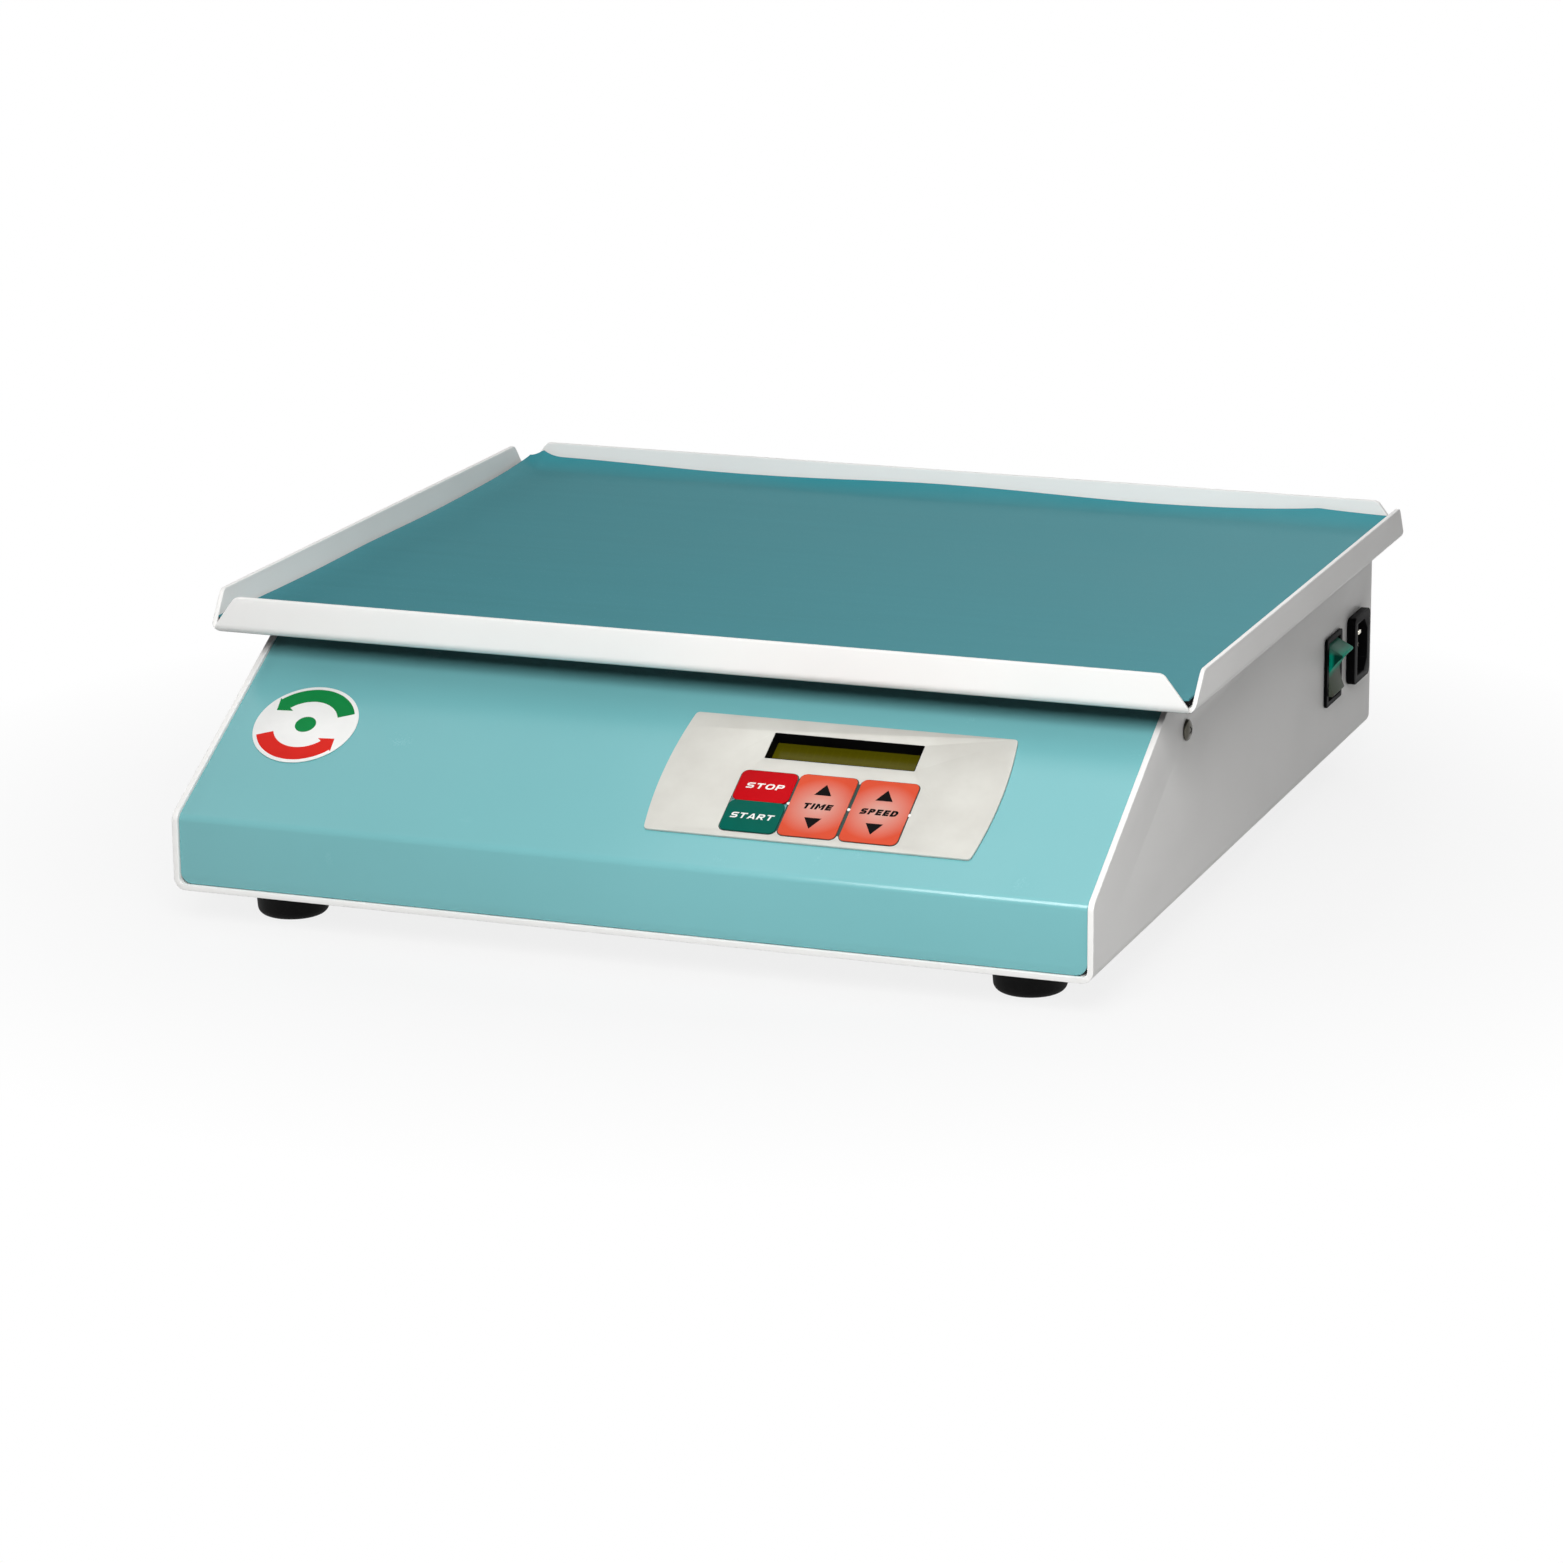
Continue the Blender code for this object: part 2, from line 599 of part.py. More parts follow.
def make_cover(paint):
    half_width = wall_x - PAN_SHEET - GAP
    low = pan_floor + GAP
    outline = sheet_outline(casing_path(rear_y, low), COVER_BEND, COVER_SHEET)
    cover = prism("cover", outline, -half_width, half_width, paint, "X", smooth=True)
    for name, side in (("left", -1), ("right", 1)):
        cut(cover, cover_corner_tool("cover_corner_" + name, side * half_width, side, low, paint))
        screw_y = front_y + SIDE_SCREW_FROM_FRONT
        inner = half_width - COVER_SHEET
        tab_x = sorted((side * inner, side * half_width))
        tab = box("cover_tab_" + name,
                  (tab_x[0], screw_y - TAB_WIDTH / 2, side_screw_z - TAB_BELOW_SCREW),
                  (tab_x[1], screw_y + TAB_WIDTH / 2, cover_top - COVER_SHEET / 2), paint)
        join(cover, tab)
        cut(cover, side_screw_hole("cover_tab_hole_" + name, side, paint))
        cut(cover, rear_screw_hole("cover_rear_hole_" + name, side, rear_y - COVER_SHEET, paint))
        for vent in range(VENT_COUNT):
            x = side * VENT_OFFSET + (vent - (VENT_COUNT - 1) / 2) * VENT_PITCH
            slot = centred_rectangle((x, pan_bottom + VENT_HEIGHT), VENT_WIDTH, VENT_LENGTH, VENT_WIDTH / 2)
            cut(cover, prism(f"vent_{name}_{vent}", slot, rear_y - COVER_SHEET - OVERRUN, rear_y + OVERRUN,
                             paint, "Y"))
    sweep = ORBIT_RADIUS + HUB_BARREL_RADIUS + HUB_SWEEP_CLEARANCE
    for name, (x, y) in {"drive": (0, drive_y), **idler_places}.items():
        cut(cover, rod("cover_hub_hole_" + name, sweep, cover_top - COVER_SHEET - OVERRUN,
                       cover_top + OVERRUN, paint, place=at(x, y)))
    window = centred_rectangle((DISPLAY_CENTRE_U, DISPLAY_CENTRE_V),
                               DISPLAY_WIDTH + 2 * DISPLAY_STEP, DISPLAY_HEIGHT + 2 * DISPLAY_STEP)
    cut(cover, prism("cover_display_window", window, -COVER_SHEET - OVERRUN, OVERRUN, paint, place=panel))
    return cover


def pan_head_profile(head_radius, head_height, radius, length):
    """A low domed head on top of a shank, with the head's seat at height zero."""
    dome = []
    for step in range(CORNER_STEPS):
        angle = pi / 2 * step / (CORNER_STEPS - 1)
        dome.append((head_radius * sin(angle), head_height * (1 + cos(angle)) / 2))
    return dome + [(head_radius, GAP), (radius, GAP), (radius, -length), (0, -length)]


def make_cover_screw(name, metal, place):
    profile = pan_head_profile(COVER_SCREW_HEAD_RADIUS, COVER_SCREW_HEAD_HEIGHT, COVER_SCREW_RADIUS,
                               COVER_SCREW_LENGTH)
    screw = turned(name, profile, metal, SCREW_STEPS, place)
    floor = COVER_SCREW_HEAD_HEIGHT - RECESS_DEPTH
    slots = {"across": (RECESS_LENGTH, RECESS_WIDTH), "along": (RECESS_WIDTH, RECESS_LENGTH)}
    for way, (width, length) in slots.items():
        slot = box(f"{name}_slot_{way}", (-width / 2, -length / 2, floor),
                   (width / 2, length / 2, COVER_SCREW_HEAD_HEIGHT + OVERRUN), metal, place=place)
        cut(screw, slot)
    return screw


def make_foot(name, x, y, rubber):
    top = FOOT_HEIGHT - GAP
    bore = FOOT_SCREW_RADIUS + SCREW_CLEARANCE
    edge = corner_arc(Vector((FOOT_RECESS_RADIUS, 0)), Vector((FOOT_BOTTOM_RADIUS, 0)),
                      Vector((FOOT_TOP_RADIUS, top)), FOOT_ROUND, CORNER_STEPS - 1)
    profile = [(FOOT_RECESS_RADIUS, 0)] + [(point.x, point.y) for point, normal in edge]
    profile += [(FOOT_TOP_RADIUS, top), (bore, top), (bore, FOOT_RECESS_DEPTH)]
    profile.append((FOOT_RECESS_RADIUS, FOOT_RECESS_DEPTH))
    return turned("foot_" + name, profile, rubber, place=at(x, y))


def make_foot_screw(name, x, y, metal):
    seat = FOOT_RECESS_DEPTH - GAP
    low = seat - FOOT_SCREW_HEAD_HEIGHT
    high = pan_floor + FOOT_SCREW_PAST_PAN
    profile = [(0, low), (FOOT_SCREW_HEAD_RADIUS, low), (FOOT_SCREW_HEAD_RADIUS, seat),
               (FOOT_SCREW_RADIUS, seat), (FOOT_SCREW_RADIUS, high), (0, high)]
    return turned("foot_screw_" + name, profile, metal, SCREW_STEPS, at(x, y))


# Tray

def lip_rows():
    """The lip's section, from the floor's edge up: (outward, up) on the outer and the inner face."""
    samples = bent_path([(-TRAY_LIP, 0), (0, 0), (TRAY_LEAN, TRAY_LIP)], TRAY_BEND)[1:]
    return [(point, point + normal * TRAY_SHEET) for point, normal in samples]


def make_tray(paint):
    rows = lip_rows()
    work = bmesh.new()
    half = (TRAY_WIDTH / 2, TRAY_DEPTH / 2)
    floor_half = [size + rows[0][0].x for size in half]
    corners = []
    for face in (0, 1):
        height = rows[0][face].y
        corners.append([work.verts.new((sx * floor_half[0], sy * floor_half[1], height))
                        for sx, sy in ((-1, -1), (1, -1), (1, 1), (-1, 1))])
    work.faces.new(corners[0])
    work.faces.new(corners[1])
    for side in range(4):
        axis = 1 if side in (0, 2) else 0
        sign = -1 if side in (0, 3) else 1
        ends = (corners[0][side], corners[0][(side + 1) % 4]), (corners[1][side], corners[1][(side + 1) % 4])
        last = [list(ends[0]), list(ends[1])]
        for faces in rows[1:]:
            fresh = []
            for face, spot in enumerate(faces):
                rise = spot - rows[0][face]
                reach = floor_half[1 - axis] + rise.x - TRAY_CORNER_CUT * rise.y / TRAY_LIP
                row = []
                for vert in ends[face]:
                    along = reach if vert.co[1 - axis] > 0 else -reach
                    across = sign * (half[axis] + spot.x)
                    row.append(work.verts.new((along, across, spot.y) if axis else (across, along, spot.y)))
                fresh.append(row)
            for face in (0, 1):
                work.faces.new((last[face][0], last[face][1], fresh[face][1], fresh[face][0]))
                work.faces.new((last[0][face], last[1][face], fresh[1][face], fresh[0][face]))
            last = fresh
        work.faces.new((last[0][0], last[0][1], last[1][1], last[1][0]))
    tray = new_object("tray", work, paint, smooth=True, place=at(0, tray_y, tray_bottom))
    for name, (x, y) in hub_places(idler_places).items():
        hole = TRAY_SCREW_RADIUS + SCREW_CLEARANCE
        sink = TRAY_SCREW_HEAD_RADIUS + SCREW_CLEARANCE
        slant = (sink - hole) / TRAY_SHEET
        profile = [(0, -OVERRUN), (hole, -OVERRUN), (hole, 0), (sink + slant * OVERRUN, TRAY_SHEET + OVERRUN),
                   (0, TRAY_SHEET + OVERRUN)]
        cut(tray, turned("tray_screw_hole_" + name, profile, paint, SCREW_STEPS, at(x, y, tray_bottom)))
    return tray


def hub_places(axes):
    """At rest every crank points to the front, so each hub lies one orbit radius ahead of its axis."""
    return {name: (x, y - ORBIT_RADIUS) for name, (x, y) in axes.items()}


def band_places(half, spans):
    """Grid lines across the mat: close together in the lifted band along each edge."""
    band = [half - MAT_EDGE_BAND * share for share in MAT_BAND_SHARES]
    middle = half - MAT_EDGE_BAND
    inside = [middle - 2 * middle * step / spans for step in range(1, spans)]
    return band + inside + [-place for place in reversed(band)]


def edge_rise(x, y, half):
    """The mat lies flat, and its outer band turns up a little along every edge."""
    near = min(half[0] - abs(x), half[1] - abs(y))
    share = max(0.0, 1 - near / MAT_EDGE_BAND)
    return MAT_EDGE_LIFT * share ** 2


def make_mat(rubber):
    half = (TRAY_WIDTH / 2 - MAT_MARGIN, TRAY_DEPTH / 2 - MAT_MARGIN)
    columns = band_places(half[0], MAT_SPANS_X)
    lines = band_places(half[1], MAT_SPANS_Y)
    work = bmesh.new()
    rims = []
    for base in (0.0, MAT_THICKNESS):
        grid = []
        for x in columns:
            grid.append([work.verts.new((x, y, base + edge_rise(x, y, half))) for y in lines])
        for a, b in zip(grid, grid[1:]):
            for step in range(len(lines) - 1):
                work.faces.new((a[step], a[step + 1], b[step + 1], b[step]))
        there = [row[0] for row in grid] + grid[-1][1:]
        back = [row[-1] for row in reversed(grid[:-1])] + grid[0][-2:0:-1]
        rims.append(there + back)
    low, high = rims
    for step in range(len(low)):
        work.faces.new((low[step - 1], low[step], high[step], high[step - 1]))
    return new_object("mat", work, rubber, smooth=True, place=at(0, tray_y, tray_floor + GAP))


def make_hub(name, x, y, metal, hole):
    """A flanged hub that turns on a crank's pin. The hole above the pin takes a screw, or is zero."""
    bore = PIN_RADIUS + RUNNING_CLEARANCE
    flange = hub_top - HUB_FLANGE
    profile = [(hole, hub_bore_top), (bore, hub_bore_top), (bore, hub_bottom),
               (HUB_BARREL_RADIUS, hub_bottom), (HUB_BARREL_RADIUS, flange),
               (HUB_FLANGE_RADIUS, flange), (HUB_FLANGE_RADIUS, hub_top), (hole, hub_top)]
    return turned("platform_hub_" + name, profile, metal, place=at(x, y))


def make_tray_screw(name, x, y, metal):
    top = tray_floor - TRAY_SCREW_SINK
    low = top - TRAY_SCREW_LENGTH
    profile = [(0, low), (TRAY_SCREW_RADIUS, low), (TRAY_SCREW_RADIUS, tray_bottom),
               (TRAY_SCREW_HEAD_RADIUS, top), (0, top)]
    return turned("tray_screw_" + name, profile, metal, SCREW_STEPS, at(x, y))


# Drive

def make_bridge(metal):
    foot = pan_floor + GAP + BRIDGE_SHEET
    toe = bridge_leg + BRIDGE_FOOT
    path = [(toe, foot), (bridge_leg, foot), (bridge_leg, bridge_top), (-bridge_leg, bridge_top),
            (-bridge_leg, foot), (-toe, foot)]
    outline = sheet_outline(path, BRIDGE_BEND, BRIDGE_SHEET)
    bridge = prism("mechanism_bridge", outline, front_axis_y - BRIDGE_MARGIN_Y,
                   rear_axis_y + BRIDGE_MARGIN_Y, metal, "Y", smooth=True)
    holes = {"drive": (0, drive_y, DRIVE_BARREL_RADIUS + GAP)}
    for name, (x, y) in idler_places.items():
        holes[name] = (x, y, IDLER_BARREL_RADIUS + GAP)
    holes["motor"] = (motor_x, drive_y, MOTOR_SHAFT_RADIUS + MOTOR_HOLE_MARGIN)
    for name, (x, y, radius) in holes.items():
        cut(bridge, rod("bridge_hole_" + name, radius, bridge_top - BRIDGE_SHEET - OVERRUN,
                        bridge_top + OVERRUN, metal, place=at(x, y)))
    return bridge


def make_idler_housing(name, x, y, metal):
    bore = IDLER_SHAFT_RADIUS + RUNNING_CLEARANCE
    low = bridge_top - IDLER_BARREL_BELOW_BRIDGE
    high = disc_bottom - GAP
    profile = [(bore, low), (IDLER_BARREL_RADIUS, low), (IDLER_BARREL_RADIUS, flange_bottom),
               (IDLER_FLANGE_RADIUS, flange_bottom), (IDLER_FLANGE_RADIUS, flange_top),
               (IDLER_BARREL_RADIUS, flange_top), (IDLER_BARREL_RADIUS, high), (bore, high)]
    return turned("idler_bearing_" + name, profile, metal, place=at(x, y))


def make_drive_housing(metal):
    bore = DRIVE_SHAFT_RADIUS + RUNNING_CLEARANCE
    low = bridge_top - DRIVE_BARREL_BELOW_BRIDGE
    profile = [(bore, low), (DRIVE_BARREL_RADIUS, low), (DRIVE_BARREL_RADIUS, flange_bottom),
               (DRIVE_FLANGE_RADIUS, flange_bottom), (DRIVE_FLANGE_RADIUS, flange_top), (bore, flange_top)]
    return turned("drive_bearing", profile, metal, place=at(0, drive_y))


def make_crank(name, x, y, metal, shaft_radius, shaft_low, disc_outline):
    """A disc between a shaft on the axis and a pin one orbit radius ahead of it."""
    place = at(x, y)
    middle = (disc_bottom + disc_top) / 2
    crank = prism(name, disc_outline, disc_bottom, disc_top, metal, smooth=True, place=place)
    join(crank, rod(name + "_shaft", shaft_radius, shaft_low, middle, metal, place=place))
    join(crank, rod(name + "_pin", PIN_RADIUS, middle, pin_top, metal, place=at(x, y - ORBIT_RADIUS)))
    return crank


def arc_points(radius, first, last, steps):
    points = []
    for step in range(steps + 1):
        angle = first + (last - first) * step / steps
        points.append((radius * cos(angle), radius * sin(angle)))
    return points


def counterweight_outline():
    """A disc with a wider sector behind the axis, opposite the pin."""
    first = pi / 2 - COUNTERWEIGHT_HALF_ANGLE
    last = pi / 2 + COUNTERWEIGHT_HALF_ANGLE
    wide = arc_points(COUNTERWEIGHT_RADIUS, first, last, HALF_ROUND_STEPS)
    return wide + arc_points(DRIVE_DISC_RADIUS, last, first + 2 * pi, HALF_ROUND_STEPS)


def make_drive_pulley(metal):
    """A rim and a hub joined by a thinner web."""
    bore = DRIVE_SHAFT_RADIUS + GAP
    rim = DRIVE_PULLEY_RADIUS - DRIVE_PULLEY_RIM
    web_low = (pulley_bottom + pulley_top - DRIVE_PULLEY_WEB) / 2
    web_high = web_low + DRIVE_PULLEY_WEB
    hub = DRIVE_PULLEY_HUB_RADIUS
    profile = [(bore, pulley_bottom), (hub, pulley_bottom), (hub, web_low), (rim, web_low),
               (rim, pulley_bottom), (DRIVE_PULLEY_RADIUS, pulley_bottom), (DRIVE_PULLEY_RADIUS, pulley_top),
               (rim, pulley_top), (rim, web_high), (hub, web_high), (hub, pulley_top), (bore, pulley_top)]
    return turned("drive_pulley", profile, metal, LARGE_ROUND_STEPS, at(0, drive_y))


def make_motor_pulley(metal):
    """The motor's shaft with its small flanged pulley."""
    shaft_low = bridge_top - BRIDGE_SHEET - GAP - MOTOR_SHAFT_IN_MOTOR
    flange = MOTOR_PULLEY_RADIUS + MOTOR_PULLEY_FLANGE
    low = pulley_bottom + MOTOR_PULLEY_FLANGE_THICKNESS
    high = pulley_top - MOTOR_PULLEY_FLANGE_THICKNESS
    profile = [(0, shaft_low), (MOTOR_SHAFT_RADIUS, shaft_low), (MOTOR_SHAFT_RADIUS, pulley_bottom),
               (flange, pulley_bottom), (flange, low), (MOTOR_PULLEY_RADIUS, low),
               (MOTOR_PULLEY_RADIUS, high), (flange, high), (flange, pulley_top), (0, pulley_top)]
    return turned("motor_pulley", profile, metal, place=at(motor_x, drive_y))


def belt_loop(small, large):
    """Two arcs and the straight runs between them, round the motor pulley and the drive pulley."""
    lean = pi / 2 + atan2(large - small, sqrt(motor_x ** 2 - (large - small) ** 2))
    loop = arc_points(large, -lean, lean, LARGE_ROUND_STEPS)
    loop += [(motor_x + x, y) for x, y in arc_points(small, lean, 2 * pi - lean, HALF_ROUND_STEPS)]
    return loop


def make_belt(rubber):
    inner = (MOTOR_PULLEY_RADIUS + BELT_CLEARANCE, DRIVE_PULLEY_RADIUS + BELT_CLEARANCE)
    outer = (inner[0] + BELT_THICKNESS, inner[1] + BELT_THICKNESS)
    place = at(0, drive_y)
    belt_top = belt_bottom + BELT_WIDTH
    belt = prism("drive_belt", belt_loop(*outer), belt_bottom, belt_top, rubber, smooth=True, place=place)
    cut(belt, prism("belt_inside", belt_loop(*inner), belt_bottom - OVERRUN, belt_top + OVERRUN, rubber,
                    place=place))
    return belt


def make_motor(metal):
    """A gearbox under the bridge with the motor's can below it."""
    top = bridge_top - BRIDGE_SHEET - GAP
    low = top - MOTOR_GEARBOX_HEIGHT
    outline = centred_rectangle((0, 0), MOTOR_GEARBOX, MOTOR_GEARBOX, MOTOR_GEARBOX_CORNER)
    place = at(motor_x, drive_y)
    motor = prism("motor", outline, low, top, metal, smooth=True, place=place)
    join(motor, rod("motor_can", MOTOR_CAN_RADIUS, pan_floor + MOTOR_ABOVE_FLOOR, (low + top) / 2, metal,
                    LARGE_ROUND_STEPS, place))
    bore = MOTOR_SHAFT_RADIUS + RUNNING_CLEARANCE
    cut(motor, rod("motor_bore", bore, top - MOTOR_BORE_DEPTH, top + OVERRUN, metal, place=place))
    return motor


# Electronics

def make_supply(metal):
    """A power supply on its base plate, with a row of cooling fins on top."""
    low = pan_floor + GAP
    half = (SUPPLY_LENGTH / 2, SUPPLY_WIDTH / 2)
    place = at(bridge_leg - SUPPLY_FROM_BRIDGE - half[0], drive_y + SUPPLY_BEHIND_DRIVE)
    base_top = low + SUPPLY_BASE
    supply = box("power_supply", (-half[0], -half[1], low), (half[0], half[1], base_top), metal, place)
    case = (half[0] - SUPPLY_CASE_INSET, half[1] - SUPPLY_CASE_INSET)
    case_top = low + SUPPLY_CASE_HEIGHT
    join(supply, box("supply_case", (-case[0], -case[1], low + SUPPLY_BASE / 2),
                     (case[0], case[1], case_top), metal, place))
    reach = case[1] - SUPPLY_FIN_WIDTH
    for fin in range(SUPPLY_FIN_COUNT):
        x = case[0] * ((2 * fin + 1) / SUPPLY_FIN_COUNT - 1)
        join(supply, box(f"supply_fin_{fin}",
                         (x - SUPPLY_FIN_WIDTH / 2, -reach, case_top - SUPPLY_FIN_WIDTH),
                         (x + SUPPLY_FIN_WIDTH / 2, reach, case_top + SUPPLY_FIN_HEIGHT), metal, place))
    return supply


def make_board(laminate):
    """The controller board hangs under the cover on four spacers and carries the display."""
    back = board_top - BOARD_THICKNESS
    centre = (BOARD_CENTRE_U, BOARD_CENTRE_V)
    middle = back + BOARD_THICKNESS / 2
    board = prism("controller_board", centred_rectangle(centre, BOARD_WIDTH, BOARD_HEIGHT), back, board_top,
                  laminate, place=panel)
    for across in (-1, 1):
        for up in (-1, 1):
            u = centre[0] + across * (BOARD_WIDTH / 2 - BOARD_SPACER_INSET)
            v = centre[1] + up * (BOARD_HEIGHT / 2 - BOARD_SPACER_INSET)
            join(board, rod(f"board_spacer_{across}_{up}", BOARD_SPACER_RADIUS, middle, bezel_top, laminate,
                            SCREW_STEPS, panel @ at(u, v)))
    chip = centred_rectangle((centre[0] - CHIP_SIZE, centre[1]), CHIP_SIZE, CHIP_SIZE)
    join(board, prism("board_chip", chip, back - CHIP_HEIGHT, middle, laminate, place=panel))
    plug = centred_rectangle((centre[0] + CONNECTOR_LENGTH, centre[1]), CONNECTOR_LENGTH, CONNECTOR_WIDTH)
    join(board, prism("board_connector", plug, back - CONNECTOR_HEIGHT, middle, laminate, place=panel))
    return board


def make_display(plastic, glass):
    centre = (DISPLAY_CENTRE_U, DISPLAY_CENTRE_V)
    well = (DISPLAY_WIDTH + 4 * DISPLAY_STEP, DISPLAY_HEIGHT + 4 * DISPLAY_STEP)
    outline = centred_rectangle(centre, well[0] + 2 * BEZEL_BORDER_U, well[1] + 2 * BEZEL_BORDER_V)
    bezel = prism("display_bezel", outline, bezel_top - BEZEL_DEPTH, bezel_top, plastic, place=panel)
    cut(bezel, prism("display_well", centred_rectangle(centre, *well), bezel_top - BEZEL_DEPTH - OVERRUN,
                     bezel_top + OVERRUN, plastic, place=panel))
    face = film_top - DISPLAY_SINK
    pane = centred_rectangle(centre, well[0] - 2 * GAP, well[1] - 2 * GAP)
    screen = prism("display_glass", pane, face - GLASS_DEPTH, face, glass, place=panel)
    return bezel, screen


# Control panel

def overlay_outline():
    """A wide panel whose two short sides bow outwards."""
    half = (OVERLAY_WIDTH / 2, OVERLAY_HEIGHT / 2)
    side = [2 * step / OVERLAY_BOW_STEPS - 1 for step in range(OVERLAY_BOW_STEPS + 1)]
    right = [(half[0] + OVERLAY_BOW * (1 - share ** 2), half[1] * share) for share in side]
    left = [(-x, -y) for x, y in right]
    points = [(x + OVERLAY_CENTRE_U, y + OVERLAY_CENTRE_V) for x, y in right + left]
    radii = [OVERLAY_CORNER] + [0] * (OVERLAY_BOW_STEPS - 1) + [OVERLAY_CORNER]
    return rounded_polygon(points, radii * 2)


def key_opening(left, low, width, height):
    centre = (left + width / 2, low + height / 2)
    return centred_rectangle(centre, width + 2 * KEY_GAP, height + 2 * KEY_GAP, KEY_CORNER + KEY_GAP)


def make_overlay(film):
    overlay = prism("keypad_overlay", overlay_outline(), SEAT, film_top, film, place=panel)
    centre = (DISPLAY_CENTRE_U, DISPLAY_CENTRE_V)
    openings = {"display": centred_rectangle(centre, DISPLAY_WIDTH, DISPLAY_HEIGHT)}
    openings["command"] = key_opening(COMMAND_KEY_LEFT_U, START_KEY_LOW_V, COMMAND_KEY_WIDTH,
                                      STOP_KEY_LOW_V + STOP_KEY_HEIGHT - START_KEY_LOW_V)
    for name, left in (("time", TIME_TILE_LEFT_U), ("speed", SPEED_TILE_LEFT_U)):
        openings[name] = key_opening(left, TILE_LOW_V, TILE_WIDTH, TILE_HEIGHT)
    for name, outline in openings.items():
        cut(overlay, prism("overlay_opening_" + name, outline, SEAT - OVERRUN, film_top + OVERRUN, film,
                           place=panel))
    return overlay


def key_layout():
    """Every key's low corner, size and corner radii on the panel, with its finish."""
    all_round = (KEY_CORNER,) * 4
    low_round = (KEY_CORNER, KEY_CORNER, 0, 0)
    high_round = (0, 0, KEY_CORNER, KEY_CORNER)
    left = COMMAND_KEY_LEFT_U
    keys = {
        "stop_key": (left, STOP_KEY_LOW_V, COMMAND_KEY_WIDTH, STOP_KEY_HEIGHT, all_round, "red_film"),
        "start_key": (left, START_KEY_LOW_V, COMMAND_KEY_WIDTH, START_KEY_HEIGHT, all_round, "green_film"),
    }
    height = (TILE_HEIGHT - LABEL_HEIGHT) / 2 - KEY_GAP
    high = TILE_LOW_V + TILE_HEIGHT - height
    for name, left in (("time", TIME_TILE_LEFT_U), ("speed", SPEED_TILE_LEFT_U)):
        keys[name + "_up_key"] = (left, high, TILE_WIDTH, height, high_round, "orange_film")
        keys[name + "_down_key"] = (left, TILE_LOW_V, TILE_WIDTH, height, low_round, "orange_film")
    return keys


def make_key(name, layout, finishes):
    """A key stands on its own origin, which lies at its middle on the panel."""
    left, low, width, height, radii, film = layout
    place = panel @ at(left + width / 2, low + height / 2, key_top)
    outline = rectangle((-width / 2, -height / 2), (width / 2, height / 2), radii)
    return prism(name, outline, KEY_TRAVEL + KEY_GAP - key_top, 0, finishes[film], place=place)


def make_label_band(name, left, film):
    low = TILE_LOW_V + (TILE_HEIGHT - LABEL_HEIGHT) / 2
    outline = rectangle((left, low), (left + TILE_WIDTH, low + LABEL_HEIGHT))
    return prism(name, outline, SEAT, key_top, film, place=panel)


def make_badge(film):
    place = panel @ at(BADGE_FROM_SIDE - wall_x, BADGE_CENTRE_V, SEAT)
    return rod("round_badge", BADGE_RADIUS, 0, BADGE_THICKNESS, film, LARGE_ROUND_STEPS, place)


# Mains switch and inlet

def make_switch_housing(plastic):
    outline = centred_rectangle(switch_centre, SWITCH_BEZEL_WIDTH, SWITCH_BEZEL_HEIGHT, SWITCH_BEZEL_CORNER)
    housing = prism("switch_housing", outline, wall_x + GAP, switch_face, plastic, "X", smooth=True)
    body = centred_rectangle(switch_centre, SWITCH_BODY_WIDTH, SWITCH_BODY_HEIGHT)
    join(housing, prism("switch_body", body, wall_x - SWITCH_BODY_DEPTH,
                        switch_face - SWITCH_BEZEL_THICKNESS / 2, plastic, "X"))
    well = centred_rectangle(switch_centre, SWITCH_WELL_WIDTH, SWITCH_WELL_HEIGHT)
    cut(housing, prism("switch_well", well, switch_face - SWITCH_WELL_DEPTH, switch_face + OVERRUN, plastic,
                       "X"))
    return housing


def rocker_outline():
    """The rocker's section in (out, up) from its pivot: two wings with a hollow between their tips."""
    wing = []
    for step in range(CORNER_STEPS + 1):
        share = step / CORNER_STEPS
        sag = ROCKER_HOLLOW * 4 * share * (1 - share)
        out = ROCKER_TIP_OUT + (ROCKER_MIDDLE_OUT - ROCKER_TIP_OUT) * share - sag
        wing.append((out, ROCKER_TIP_UP * (1 - share)))
    lower = [(out, -up) for out, up in reversed(wing[:-1])]
    back = [(-ROCKER_HEEL_IN, -ROCKER_HEEL_UP), (-ROCKER_BACK_IN, -ROCKER_BACK_UP),
            (-ROCKER_BACK_IN, ROCKER_BACK_UP), (-ROCKER_HEEL_IN, ROCKER_HEEL_UP)]
    return wing + lower + back


def make_rocker(plastic):
    """At rest the lower wing is pressed in, and the upper one stands out."""
    half = SWITCH_WELL_WIDTH / 2 - GAP
    pivot = at(wall_x - ROCKER_PIVOT_DEPTH, *switch_centre)
    return prism("rocker", rocker_outline(), -half, half, plastic, "Y", smooth=True,
                 place=pivot @ Matrix.Rotation(ROCKER_TILT, 4, "Y"))


def socket_outline():
    half = (INLET_SOCKET_WIDTH / 2, INLET_SOCKET_HEIGHT / 2)
    cut_off = INLET_SOCKET_CHAMFER
    corners = [(-half[0], -half[1]), (half[0] - cut_off, -half[1]), (half[0], cut_off - half[1]),
               (half[0], half[1] - cut_off), (half[0] - cut_off, half[1]), (-half[0], half[1])]
    return [(inlet_centre[0] + y, inlet_centre[1] + z) for y, z in corners]


